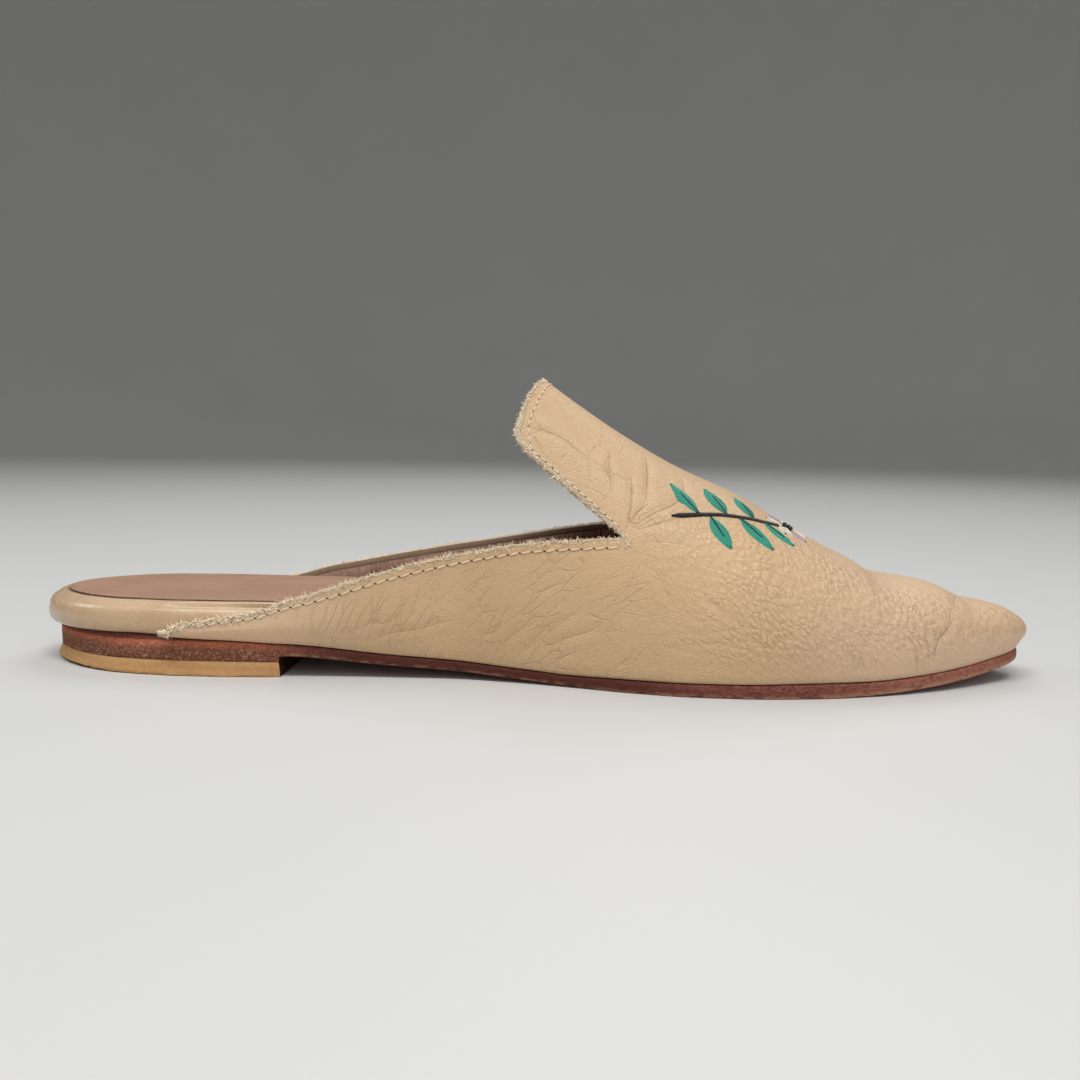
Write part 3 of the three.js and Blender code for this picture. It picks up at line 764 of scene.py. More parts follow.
def pebbled_leather(look):
    """Tan leather: pebbles over the toe, slanting wrinkles at the waist, folds and a frayed cut edge."""
    finish = Finish("pebbled_leather", specular_ior_level=0.45, coat_roughness=0.22)
    spot = finish.spot()
    along = finish.layer("along")
    off_ridge = abs(finish.layer("girth"))

    # Where the pebbles stand: over ball and toe, faint on the ridge and at the sole, in patches
    patch = finish.ramp(finish.noise(spot, 0.05, 2.0), 0.35, 0.65, 0.6, 1.0)
    side = finish.ramp(off_ridge, 0.08, 0.36, 0.12, 1.0) * finish.ramp(off_ridge, 0.96, 0.68, 0.12, 1.0)
    pebble = (0.1 + 0.9 * finish.ramp(along, 156, 194) * side) * patch

    # Pebbles and their grooves, on the leather laid flat
    unrolled = finish.node("ShaderNodeCombineXYZ", None, {0: along, 1: finish.layer("around")})
    wander = finish.warped(finish.warped(unrolled, 0.12, 1.8), 0.7, 0.5)
    gap = finish.edges(wander, look.pebble_scale, "2D")
    plump = finish.domes(wander, look.pebble_scale)
    groove = finish.ramp(gap, 0.1, 0.0) * finish.ramp(finish.noise(unrolled, 0.5, 2.0), 0.34, 0.56)
    fine_gap = finish.edges(finish.warped(unrolled, 0.6, 0.6), 2.1 * look.pebble_scale, "2D")
    fine = finish.ramp(fine_gap, -0.04, 0.4)

    # Slanting wrinkles at the waist, and crumples over the instep
    angle = finish.ramp(along, 70, 165, math.radians(70), math.radians(36))
    settings = {"rotation_type": "Y_AXIS"}
    turned = finish.node("ShaderNodeVectorRotate", settings, {"Vector": spot, "Angle": angle})
    drawn_out = finish.vector("MULTIPLY", turned, (0.2, 0.5, 0.8))
    strands = finish.edges(finish.warped(drawn_out, 0.4, 0.8), 0.5)
    waist = finish.ramp(along, 60, 76) * finish.ramp(along, 172, 150) * finish.ramp(off_ridge, 0.42, 0.56)
    picked = finish.ramp(finish.noise(spot, 0.1, 2.0), 0.36, 0.6)
    wrinkle = finish.ramp(strands, 0.07, 0.0) * waist * picked
    instep = finish.ramp(along, 190, 165) * finish.ramp(off_ridge, 0.62, 0.45)
    crumple = finish.ramp(finish.edges(finish.warped(unrolled, 0.16, 2.6), 0.2, "2D"), 0.1, 0.0) * instep
    crumple = crumple * finish.ramp(finish.noise(spot, 0.12, 2.0), 0.4, 0.6)

    # Sharp bottom of the creases
    fold = abs(finish.layer("fold") + (finish.noise(spot, 0.6, 2.0) - 0.5) * 0.5)
    crease = finish.ramp(fold, 0.42, 0.0) * finish.layer("fold_depth") * 2.2

    # Upright draws above the sole, softness and pores
    upright = finish.noise(finish.warped(finish.spot((1, 0.5, 0.14)), 0.2, 0.8), 0.75, 2.0, 0.5)
    drawn = finish.ramp(off_ridge, 0.74, 0.95)
    soft = finish.noise(finish.warped(spot, 0.2, 1.5), 0.32, 3.0, 0.55)
    pores = finish.noise(spot, 2.4, 3.0, 0.6)
    height = plump * pebble * 0.66 + fine * 0.11 - wrinkle * 0.26 - crease * 0.46 - crumple * 0.22
    height = height - groove * pebble * 0.12
    height = height + upright * (0.06 + 0.3 * drawn) + soft * (0.4 + 0.1 * pebble) + pores * 0.06

    # Raw fibres along the cut edge, a broader band down the sides of the tab
    fibre = finish.noise(finish.warped(spot, 1.2, 0.5), 2.4, 4.0, 0.7)
    tab_side = finish.ramp(off_ridge, 0.26, 0.34) * finish.ramp(off_ridge, 0.5, 0.46)
    tab_side = tab_side * finish.ramp(along, 158, 150)
    raw = finish.ramp(finish.layer("edge") - tab_side * 0.9 + (fibre - 0.5) * 1.6, 0.75, 0.3)
    finish.bump(height * (1 - raw) + raw * fibre * 1.8, look.grain_depth / MM)

    # Colour: clouded, with painted light and shade: darker on the ridge and in the lines, a rosy sheen to
    # the toe, paler low on the toe and at the back of the wings
    broad = finish.ramp(finish.noise(spot, 0.03, 3.0), 0.3, 0.7)
    face = finish.tones(broad, look.upper, 0.95, 1.04)
    # Painted shade: darker near the ridge, on the top that faces the lamps
    face = finish.mix(finish.ramp(off_ridge, 0.5, 0.2) * 0.14, face, shade(look.upper, 0.5))
    # Painted sheen: rosier and bluer towards the toe, standing in for a whitish glare
    painted_sheen = shade(look.upper, (1.02, 1.05, 1.22))
    face = finish.mix(finish.ramp(along, 180, 215) * 0.8, face, painted_sheen)
    # Painted light: paler low on the toe, where the floor throws light up, and at the back of the wings
    painted_light = finish.ramp(along, 195, 225) * finish.ramp(off_ridge, 0.55, 0.75) + finish.ramp(along, 100, 60)
    face = finish.mix(painted_light * 0.9, face, shade(painted_sheen, 1.2))
    # Painted shade: darker in the hollows of the grain, the wrinkles, the crumples and the creases
    lines = groove * pebble * 0.36 + (1 - fine) * 0.07 + wrinkle * 0.13 + crease * 0.22 + crumple * 0.07
    tone = finish.mix(lines, face, look.groove)
    # Painted shade: darker at the foot of the upper, next to the sole
    tone = finish.mix(finish.ramp(off_ridge, 0.93, 1.0) * 0.3, tone, shade(look.upper, 0.55))
    frayed = finish.tones(finish.ramp(fibre, 0.35, 0.62), look.raw_edge, 0.75, 1.05)
    gloss = 0.46 - finish.ramp(plump, 0.2, 0.9) * pebble * 0.16 + broad * 0.05 + raw * 0.4
    glints = finish.ramp(plump, 0.3, 0.9) * pebble * (1 - raw) * 0.55
    return finish.set(base_color=finish.mix(raw, tone, frayed), roughness=gloss, coat_weight=glints)


def raw_edge_leather(look):
    """Cut edge of the upper: pale, felted fibres."""
    finish = Finish("raw_cut_edge", roughness=0.95, specular_ior_level=0.15)
    fibres = finish.noise(finish.warped(finish.spot(), 1.1, 0.6), 2.6, 4.0, 0.7)
    finish.bump(fibres, 0.7)
    return finish.set(base_color=finish.tones(finish.ramp(fibres, 0.35, 0.65), look.raw_edge, 0.75, 1.1))


def flesh_side_leather(look):
    """Inside of the upper above its lining: napped and duller than the grain side."""
    finish = Finish("flesh_side", roughness=0.95, specular_ior_level=0.12)
    nap = finish.noise(finish.spot(), 2.2, 4.0, 0.65)
    finish.bump(nap, 0.3)
    return finish.set(base_color=finish.tones(finish.ramp(nap, 0.3, 0.7), look.flesh_side, 0.75, 1.08))


def smooth_leather(name, base):
    """Plain leather with fine grain and faint clouding: its finish, place, clouding, grain and tone."""
    finish = Finish(name, roughness=0.6, specular_ior_level=0.45, coat_roughness=0.21)
    spot = finish.spot()
    pores = finish.ramp(finish.edges(finish.warped(spot, 0.9, 0.4), 1.5), 0.0, 0.3)
    soft = finish.noise(finish.spot((0.35, 1, 1)), 0.5, 3.0)
    cloud = finish.noise(spot, 0.06, 4.0, 0.6)
    tone = finish.tones(finish.ramp(cloud, 0.3, 0.7), base, 0.9, 1.06)
    tone = finish.mix((1 - pores) * 0.25, tone, shade(base, 0.6))
    return finish, spot, cloud, pores * 0.5 + soft * 0.8, tone


def footbed_leather(look):
    """Polished wrap of the footbed, ruckled a little round the back of the heel."""
    finish, spot, cloud, grain, tone = smooth_leather("footbed_leather", look.footbed)
    along = finish.axis(spot, 0) - HEEL_BACK
    ruck = finish.noise(finish.warped(finish.spot((1, 1, 0.3)), 0.2, 1.5), 0.35, 2.0)
    finish.bump(grain * 0.03 + ruck * (0.25 + 0.4 * finish.ramp(along, 30, 0)), 1.0)
    polish = finish.ramp(finish.noise(finish.spot((0.5, 1, 2)), 0.3, 3.0), 0.36, 0.62, 0.5, 1.0)
    polish = polish * finish.ramp(along, 48, 32, 0.3, 1.0)
    gloss = 0.34 + finish.ramp(cloud, 0.3, 0.7) * 0.12
    return finish.set(base_color=tone, roughness=gloss, coat_weight=polish)


def sock_leather(look):
    """Dusty pink sock with faint smudges, its cut edge puckered at the back of the heel and darkened by a
    painted shadow where it meets the rim.
    """
    finish, spot, _, grain, tone = smooth_leather("sock_leather", look.sock)
    along = finish.axis(spot, 0) - HEEL_BACK
    level = finish.layer("rise")
    pucker = finish.noise(finish.warped(spot, 0.3, 1.0), 0.5, 2.0)
    pucker = pucker * finish.ramp(along, 40, 12) * finish.ramp(level, 10, 7)
    finish.bump(grain * 0.1 + pucker * 0.9, 1.0)
    rub = finish.ramp(finish.noise(finish.spot((0.5, 1, 1)), 0.12, 5.0, 0.7), 0.52, 0.75)
    tone = finish.mix(rub * 0.3, tone, shade(look.sock, 0.55))
    # Painted shadow: a dark, broken line along the sock's edge, in the gap to the footbed's rim
    gap = finish.ramp(level, 5.2, 4.3) * finish.ramp(finish.noise(spot, 0.12, 3.0), 0.3, 0.6, 0.5, 0.9)
    gap = gap * finish.ramp(along, 4, 11, 0.15, 1.0)
    tone = finish.mix(gap, tone, shade(look.sock, 0.16))
    return finish.set(base_color=tone, roughness=0.5 + rub * 0.15)


def lining_leather(look):
    """Pinkish lining, drawn into fine upright wrinkles where it turns up from the sock."""
    finish, _, _, grain, tone = smooth_leather("lining_leather", look.lining)
    ruck = finish.noise(finish.warped(finish.spot((1, 0.3, 0.18)), 0.25, 1.0), 0.7, 2.0)
    finish.bump(grain * 0.1 + ruck * 1.5, 1.0)
    # Painted shade: darker in the hollows of the wrinkles
    tone = finish.mix(finish.ramp(ruck, 0.55, 0.3) * 0.45, tone, shade(look.lining, 0.5))
    return finish.set(base_color=tone)


def sole_leather(name, look):
    """Edge of the leather sole: pressed fibres, chewed at the heel, pale at the toe; painted shade darkens
    the waist and a painted shadow lies under the footbed's rim.
    """
    finish = Finish(name, roughness=0.85, specular_ior_level=0.25)
    spot = finish.spot()
    height = finish.axis(spot, 2)
    along = finish.axis(spot, 0) - HEEL_BACK
    streaks = finish.spot((0.4, 0.4, 1))
    fibres = finish.noise(finish.warped(streaks, 0.8, 0.8), 2.2, 5.0, 0.72)
    bright = finish.ramp(fibres, 0.36, 0.64)
    heel = finish.ramp(along, 78, 60)
    chewed = finish.ramp(height, 8.2, 6.6) * heel
    worn = finish.noise(finish.warped(finish.spot((0.75, 0.75, 1)), 0.9, 0.6), 1.15, 2.0, 0.6) - 0.5
    curls = finish.ramp(abs(worn), 0.085, 0.0) * chewed
    finish.bump(fibres + curls * 0.8, 0.6)
    tone = finish.tones(bright, look.outsole, 0.55, 1.4)
    tone = finish.mix(heel * 0.8, tone, finish.tones(bright, look.stack, 0.6, 1.2))
    orange = finish.ramp(height, 6.0, 7.4) * finish.ramp(height, 9.4, 8.4) * heel
    tone = finish.mix(orange * (0.3 + 0.7 * bright) * 0.9, tone, shade(look.stack, 1.95))
    # Painted shadow: a dark band just under the footbed's rim at the heel
    rim_shadow = finish.ramp(height, 8.5, 9.2) * heel
    tone = finish.mix(rim_shadow * 0.65, tone, shade(look.outsole, 0.5))
    tone = finish.mix(chewed * 0.45, tone, shade(look.outsole, 0.6))
    tone = finish.mix(curls * (0.5 + 0.5 * bright), tone, shade(look.sole_fuzz, 1.15))
    # Painted shade: darker at the waist, under the arch, where the pale fringe is held back too
    waist = finish.ramp(along, 66, 90) * finish.ramp(along, 185, 150)
    tone = finish.mix(waist * 0.8, tone, shade(look.outsole, (0.3, 0.2, 0.15)))
    toe = finish.ramp(along, 195, 235)
    dusty = finish.mix(0.45, shade(look.outsole, 2.2), look.sole_fuzz)
    tone = finish.mix(toe * 0.75, tone, finish.mix(bright, shade(look.outsole, 1.2), dusty))
    fringe = finish.ramp(finish.layer("fringe") + toe * 0.15, 0.2, 0.9)
    fringe = fringe * finish.ramp(finish.noise(streaks, 0.9, 4.0), 0.38 - toe * 0.1, 0.6 - toe * 0.1)
    return finish.set(base_color=finish.mix(fringe * (1 - waist * 0.4), tone, look.sole_fuzz))


def sole_bottom(look):
    """Underside of the outsole: brown leather, scuffed pale under the ball."""
    finish = Finish("sole_bottom", specular_ior_level=0.3)
    fibres = finish.noise(finish.spot((0.4, 1, 1)), 1.2, 5.0, 0.65)
    scuff = finish.noise(finish.warped(finish.spot((0.3, 1, 1)), 0.1, 2.0), 0.45, 6.0, 0.75)
    finish.bump(fibres + scuff * 0.5, 0.15)
    tone = finish.tones(finish.ramp(fibres, 0.35, 0.65), look.outsole, 0.85, 1.25)
    along = finish.layer("along")
    ball = finish.ramp(along, 120, 165) * finish.ramp(along, 245, 215)
    tone = finish.mix(ball * finish.ramp(scuff, 0.46, 0.7) * 0.55, tone, look.sole_fuzz)
    return finish.set(base_color=tone, roughness=0.6 + fibres * 0.25)


def heel_breast(look):
    """Front face of the heel, painted nearly black: painted shade under the arch."""
    finish = Finish("heel_breast", roughness=0.85, specular_ior_level=0.2)
    breast_shade = finish.noise(finish.spot(), 0.5, 4.0, 0.6)
    return finish.set(base_color=finish.tones(breast_shade, look.stack, 0.03, 0.14))


def crepe_rubber(look):
    """Tan crepe of the top lift, slightly waxy, browner where it is rubbed."""
    finish = Finish("crepe_top_lift", specular_ior_level=0.4)
    pock = finish.noise(finish.spot(), 0.9, 4.0, 0.6)
    band = finish.noise(finish.spot((0.06, 0.06, 1)), 0.9, 2.0)
    finish.bump(pock + band * 0.6, 0.22)
    tone = finish.tones(finish.ramp(pock, 0.32, 0.68), look.lift, 0.92, 1.05)
    tone = finish.mix(finish.ramp(band, 0.55, 0.75) * 0.3, tone, shade(look.lift, 0.6))
    return finish.set(base_color=tone, roughness=0.5 + pock * 0.25)


def thread(name, base):
    """Twisted sewing thread."""
    finish = Finish(name, roughness=0.6, specular_ior_level=0.35)
    sockets = {"Vector": finish.spot(), "Scale": 1.6}
    twist = finish.node("ShaderNodeTexWave", {"bands_direction": "DIAGONAL"}, sockets)
    finish.bump(twist, 0.08)
    # Painted shade: darker in the grooves of the twist, lighter on its crowns
    return finish.set(base_color=finish.tones(twist, base, 0.85, 1.1))


def satin_thread(name, base):
    """Glossy embroidery thread, lying side by side across the shape."""
    finish = Finish(name + "_thread", specular_ior_level=0.5)
    round_thread = abs(finish.math("SINE", finish.layer("ply") * math.pi))
    fuzz = finish.noise(finish.spot(), 4.0, 3.0)
    finish.bump(round_thread + fuzz * 0.5, 0.16)
    # Painted shade: darker between the threads, lighter on their crowns
    return finish.set(base_color=finish.tones(round_thread, base, 0.55, 1.05), roughness=0.36 + fuzz * 0.25)


def needle_hole(look):
    """Needle hole: a dark patch of painted shade in the hole."""
    finish = Finish("needle_hole", roughness=0.95, specular_ior_level=0.1)
    hole_shade = finish.noise(finish.spot(), 3.0, 2.0)
    return finish.set(base_color=finish.tones(hole_shade, look.upper, 0.06, 0.16))


def fibre_fuzz(look):
    """Loose pale fibres of a cut edge."""
    finish = Finish("fibre_fuzz", roughness=0.9, specular_ior_level=0.2)
    tuft = finish.noise(finish.spot(), 0.9, 3.0)
    return finish.set(base_color=finish.tones(finish.ramp(tuft, 0.35, 0.65), look.raw_edge, 0.9, 1.25))


def pale_floor(look):
    """Plain floor with the faintest clouding."""
    finish = Finish("pale_floor", roughness=0.5, specular_ior_level=0.3)
    cloud = finish.noise(finish.spot(), 0.004, 3.0)
    return finish.set(base_color=finish.tones(finish.ramp(cloud, 0.3, 0.7), look.floor, 0.985, 1))


# Settings


def tint(name, red, green, blue, text):
    return FloatVectorProperty(
        name=name, description=text, subtype="COLOR", size=3, min=0, max=1, default=linear(red, green, blue)
    )


def length(name, default, text):
    return FloatProperty(
        name=name, description=text, subtype="DISTANCE", unit="LENGTH", default=default * MM
    )


class MuleSizes(bpy.types.PropertyGroup):
    stitch_pitch: length("Stitch pitch", 3.1, "Distance from one stitch to the next")
    stitch_inset: length("Stitch inset", 2.3, "Distance of the stitching from the cut edge")
    thread_width: length("Thread width", 0.45, "Thickness of the sewing thread")
    lining_inset: length("Lining inset", 1.8, "Distance of the lining below the cut edge")
    lining_thickness: length("Lining thickness", 0.5, "Thickness of the lining")
    fibre_length: length("Fibre length", 0.48, "Usual length of a loose fibre on a cut edge")
    fibre_count: IntProperty(
        name="Fibres", description="Number of loose fibres on the cut edges", default=9600, min=0
    )


class MuleLook(bpy.types.PropertyGroup):
    upper: tint("Upper", 203, 170, 130, "Grain side of the upper")
    # The groove colour is painted shade for the hollows of the grain and the folds
    groove: tint("Groove", 128, 92, 62, "Hollows of the grain and the folds")
    raw_edge: tint("Cut edge", 236, 216, 186, "Raw cut edge of the upper")
    flesh_side: tint("Flesh side", 138, 117, 97, "Napped inside of the upper")
    lining: tint("Lining", 148, 111, 91, "Lining of the upper")
    footbed: tint("Footbed", 196, 165, 129, "Wrapped rim of the footbed")
    sock: tint("Sock", 165, 127, 104, "Leather sock on the footbed")
    outsole: tint("Outsole", 128, 74, 63, "Leather outsole")
    sole_fuzz: tint("Sole fibres", 202, 150, 118, "Fibres that stand out of the sole's edge")
    stack: tint("Heel stack", 162, 94, 68, "Stacked heel leather")
    lift: tint("Top lift", 182, 138, 88, "Crepe under the heel")
    thread: tint("Thread", 240, 218, 186, "Sewing thread")
    leaf: tint("Leaf thread", 52, 158, 136, "Satin thread of the leaves")
    stem: tint("Stem thread", 30, 30, 36, "Satin thread of the stem")
    petal: tint("Petal thread", 214, 204, 184, "Satin thread of the petals")
    blush: tint("Blush thread", 196, 160, 176, "Satin thread of the darker petals")
    floor: tint("Floor", 201, 201, 199, "Plain floor")
    pebble_scale: FloatProperty(
        name="Pebble scale", description="Pebbles of the grain per millimetre", default=0.55, min=0.05
    )
    grain_depth: length("Grain depth", 0.4, "Depth of the grain of the upper")


class BuildStep:
    """What the operators share."""

    bl_options = {"REGISTER", "UNDO"}

    @property
    def sizes(self):
        return bpy.context.scene.mule_sizes

    @property
    def look(self):
        return bpy.context.scene.mule_look


class MULE_OT_stage(BuildStep, bpy.types.Operator):
    """Floor, lights and the camera at the angle of the picture"""

    bl_idname = "mule.stage"
    bl_label = "Stage"

    # Area lights: name, width and depth in m, power in W, place
    lamps = (
        ("key", 0.95, 0.28, 11.2, (-0.05, -0.4, 1.1)),
        ("side", 0.35, 0.35, 1.3, (-0.95, 0.0, 0.66)),
        ("fill", 1.1, 1.1, 3.9, (0.4, -1.0, 0.55)),
        ("back", 0.9, 0.9, 5, (0.2, 0.7, 1.05)),
    )
    sky = 0.22
    # Camera: place in mm; turn, pitch and roll in degrees
    camera_place = (13.24, -293.58, 63.3)
    camera_angles = (2.27, 5.85, 1.0)

    def execute(self, context):
        self.floor()
        self.lights(context.scene)
        self.camera(context.scene)
        return {"FINISHED"}

    def floor(self):
        """Round floor that sweeps up to a wall on every side."""
        flat, sweep, wall = 1.9, 1.2, 0.6
        flat_end, sweep_end = 0.3, 0.9
        bm = bmesh.new()
        made = bmesh.ops.create_grid(bm, x_segments=72, y_segments=32, size=1)
        for vert in made["verts"]:
            t = (vert.co.y + 1) / 2
            turn = min(max((t - flat_end) / (sweep_end - flat_end), 0.0), 1.0) * math.pi / 2
            reach = flat * min(t / flat_end, 1.0) + math.sin(turn) * sweep
            height = (1 - math.cos(turn)) * sweep + max(0.0, t - sweep_end) / (1 - sweep_end) * wall
            around = vert.co.x * math.pi
            vert.co = Vector((reach * math.cos(around), reach * math.sin(around), height))
        bmesh.ops.remove_doubles(bm, verts=bm.verts, dist=1e-4)
        bmesh.ops.dissolve_degenerate(bm, edges=bm.edges, dist=1e-5)
        bmesh.ops.recalc_face_normals(bm, faces=bm.faces)
        if sum(face.normal.z for face in bm.faces) < 0:
            bmesh.ops.reverse_faces(bm, faces=bm.faces)
        for face in bm.faces:
            face.smooth = True
        mesh = bpy.data.meshes.new("floor")
        bm.to_mesh(mesh)
        bm.free()
        floor = bpy.data.objects.new("floor", mesh)
        bpy.context.scene.collection.objects.link(floor)
        mesh.materials.append(pale_floor(self.look))

    def lights(self, scene):
        """Four soft area lights and an even pale sky."""
        aim = Vector((0, 0, 0.03))
        for name, width, depth, power, place in self.lamps:
            lamp = bpy.data.lights.new(name, "AREA")
            lamp.shape = "RECTANGLE"
            lamp.size, lamp.size_y = width, depth
            lamp.energy = power
            light = bpy.data.objects.new(name, lamp)
            light.location = place
            light.rotation_euler = (aim - Vector(place)).to_track_quat("-Z", "Y").to_euler()
            scene.collection.objects.link(light)
        world = bpy.data.worlds.new("studio")
        world.use_nodes = True
        background = world.node_tree.nodes["Background"]
        background.inputs["Color"].default_value = (1, 1, 1, 1)
        background.inputs["Strength"].default_value = self.sky
        scene.world = world
        scene.view_settings.view_transform = "Standard"

    def camera(self, scene):
        """Camera at the angle of the picture, rolled a little."""
        lens = bpy.data.cameras.new("camera")
        lens.sensor_width = 36
        lens.lens = 36
        lens.clip_start = 0.01
        turn, pitch, roll = (math.radians(angle) for angle in self.camera_angles)
        heading = Vector((-math.sin(turn), math.cos(turn), 0))
        ahead = heading * math.cos(pitch) - Vector((0, 0, math.sin(pitch)))
        level = Vector((math.cos(turn), math.sin(turn), 0))
        upright = level.cross(ahead)
        right = level * math.cos(roll) + upright * math.sin(roll)
        up = upright * math.cos(roll) - level * math.sin(roll)
        camera = bpy.data.objects.new("camera", lens)
        axes = Matrix((right, up, -ahead)).transposed().to_4x4()
        camera.matrix_world = Matrix.Translation(Vector(self.camera_place) * MM) @ axes
        scene.collection.objects.link(camera)
        scene.camera = camera


class MULE_OT_sole(BuildStep, bpy.types.Operator):
    """Outsole, heel stack and crepe top lift"""

    bl_idname = "mule.sole"
    bl_label = "Sole and heel"

    heel = list(reversed(closing(HEEL_BREAST, SOLE_BACK, 44)))
    along = heel[:-1] + steps(HEEL_BREAST, TOE_START, 80)[:-1] + closing(TOE_START, SOLE_TIP, 44)
    # Wear of the lift: depth at the back of the heel, and how far forward it goes, in mm
    worn_depth, worn_length = 1.1, 46

    def execute(self, context):
        self.outsole()
        self.heel_stack()
        self.top_lift()
        return {"FINISHED"}

    @staticmethod
    def layer(along, levels):
        """Plate through levels of the sole's edge, each given by its inset and its height at a station."""
        outline = [sole_ring(along, inset, height) for inset, height in levels]
        base = [towards_middle(outline[0], share) for share in (1, 0.66, 0.33)]
        top = [towards_middle(outline[-1], share) for share in (0.33, 0.66, 1)]
        return plate(base + outline + top)

    def outsole(self):
        """Leather outsole, its lower edge rounded ahead of the heel, its sides a little uneven."""

        def ahead(x):
            return smooth(HEEL_BREAST - 1, HEEL_BREAST + 3, x)

        levels = [
            (lambda x: 0.45 * ahead(x), underside),
            (lambda x: 0.12 * ahead(x), lambda x: underside(x) + 0.2),
            (lambda x: 0.0, lambda x: underside(x) + 0.6),
            (lambda x: -0.05, lambda x: lerp(underside(x), sole_top(x), 0.5)),
            (lambda x: 0.0, lambda x: sole_top(x) - 0.6),
            (lambda x: 0.15, lambda x: sole_top(x) - 0.2),
            (lambda x: 0.5, sole_top),
        ]
        bm = self.layer(self.along, levels)
        along, fringe, rise = (float_layer(bm, name) for name in ("along", "fringe", "rise"))
        first, last = 3, 9
        for vert in bm.verts:
            vert[along] = vert.co.x
            vert[fringe] = ahead(vert.co.x) * (1 - smooth(first, 7, vert[rise]))
            if first < vert[rise] < last:
                vert.co.y += math.copysign(0.12 * noise.noise(vert.co * 0.8), vert.co.y)
        finishes = [sole_leather("outsole_edge", self.look), sole_bottom(self.look)]
        finish_piece("outsole_leather", bm, finishes, "outsole", self.faces_down)

    def heel_stack(self):
        levels = [
            (lambda x: 0.2, lambda x: LIFT_THICKNESS),
            (lambda x: 0.02, lambda x: LIFT_THICKNESS + 0.3),
            (lambda x: 0.0, underside),
        ]
        bm = self.layer(self.heel, levels)
        for vert in bm.verts:
            vert.co.x = min(vert.co.x, HEEL_BREAST)
        finishes = [sole_leather("heel_stack_leather", self.look), heel_breast(self.look)]
        finish_piece("heel_stack_leather", bm, finishes, "heel_stack", self.faces_breast)

    def top_lift(self):
        """Crepe lift, its lower edge ragged and spread outwards, worn away towards the back."""

        def bottom(x):
            return self.worn_depth * max(0.0, 1 - (x - SOLE_BACK) / self.worn_length) ** 1.8

        def spread(x):
            return 0.8 - 0.5 * smooth(HEEL_BREAST - 18, HEEL_BREAST, x)

        levels = [
            (lambda x: 0.2 - spread(x), bottom),
            (lambda x: -spread(x), lambda x: bottom(x) + 0.3),
            (lambda x: -0.75 * spread(x), lambda x: bottom(x) + 0.9),
            (lambda x: -0.3 * spread(x), lambda x: lerp(bottom(x), LIFT_THICKNESS, 0.6)),
            (lambda x: 0.05, lambda x: LIFT_THICKNESS - 0.25),
            (lambda x: 0.3, lambda x: LIFT_THICKNESS),
        ]
        bm = self.layer(self.heel, levels)
        rise = float_layer(bm, "rise")
        for vert in bm.verts:
            ragged = noise.noise(vert.co * 0.7) + 0.5 * noise.noise(vert.co * 2.1)
            if 3 <= vert[rise] <= 5 and vert.co.x < HEEL_BREAST - 1:
                vert.co.z = max(0.0, vert.co.z + 0.25 * ragged)
                vert.co.y += math.copysign(0.2 * ragged, vert.co.y)
        finishes = [crepe_rubber(self.look), bpy.data.materials["heel_breast"]]
        finish_piece("crepe_top_lift", bm, finishes, "heel_top_lift", self.faces_breast)

    @staticmethod
    def faces_down(face):
        return 1 if face.normal.z < -0.8 else 0

    @staticmethod
    def faces_breast(face):
        return 1 if face.normal.x > 0.7 else 0


class MULE_OT_footbed(BuildStep, bpy.types.Operator):
    """Padded footbed wrapped in leather, its rim lapped up to the sock"""

    bl_idname = "mule.footbed"
    bl_label = "Footbed"

    # Shares of the rim's height, then the lap: share of the way in to the sock and rise over the top in mm
    rim = (0, 0.04, 0.09, 0.14, 0.22, 0.32, 0.42, 0.52, 0.62, 0.7, 0.78, 0.85, 0.91, 0.96)
    lap = ((0.62, 0.35), (0.8, 0.75), (0.9, 0.85), (0.955, 0.7), (0.985, 0.2), (1.0, -0.2))

    @staticmethod
    def height(x):
        return footbed_top(x) - seat_height(x)

    def execute(self, context):
        along = MULE_OT_sole.along
        outline = []
        for share in self.rim:
            outline.append(
                sole_ring(
                    along,
                    lambda x: rim_inset(share) * self.height(x) / FOOTBED_RIM_HEIGHT - footbed_reach(x),
                    lambda x: seat_height(x) + share * self.height(x),
                )
            )
        for margin, rise in self.lap:
            outline.append(
                sole_ring(
                    along,
                    lambda x: margin * (sock_margin(x) - 0.15) - footbed_reach(x),
                    lambda x: footbed_top(x) + rise,
                )
            )
        base = [towards_middle(outline[0], share) for share in (1, 0.5)]
        top = [towards_middle(outline[-1], share, FOOTBED_CROWN) for share in (0.5, 1)]
        bm = plate(base + outline + top)
        wrap = finish_piece("footbed_wrap", bm, [footbed_leather(self.look)], "footbed")
        return {"FINISHED"}


class MULE_OT_sock(BuildStep, bpy.types.Operator):
    """Leather sock on the footbed"""

    bl_idname = "mule.sock"
    bl_label = "Sock"

    # Its edge: inset in mm and rise in shares of its thickness, then shares of the way to the middle
    edge = ((0.2, 0.0), (0.0, 0.3), (0.0, 0.6), (0.12, 0.86), (0.45, 1.0))
    inwards = (0.05, 0.1, 0.18, 0.28, 0.4, 0.55, 0.7, 0.85, 1)

    @staticmethod
    def wobble(x):
        """How far the hand-cut edge of the sock strays inwards."""
        return 0.25 + 0.4 * noise.noise(Vector((x * 0.16, 3.1, 0)))

    def execute(self, context):
        along = MULE_OT_sole.along
        outline = []
        for inset, rise in self.edge:
            outline.append(
                sole_ring(
                    along,
                    lambda x: sock_margin(x) - footbed_reach(x) + inset + self.wobble(x),
                    lambda x: footbed_top(x) + SEAT_GAP + rise * SOCK_THICKNESS,
                )
            )
        base = [towards_middle(outline[0], share, FOOTBED_CROWN) for share in (1, 0.5)]
        top = [towards_middle(outline[-1], share, FOOTBED_CROWN) for share in self.inwards]
        bm = plate(base + outline + top)
        finish_piece("sock_lining", bm, [sock_leather(self.look)], "insole_sock")
        return {"FINISHED"}


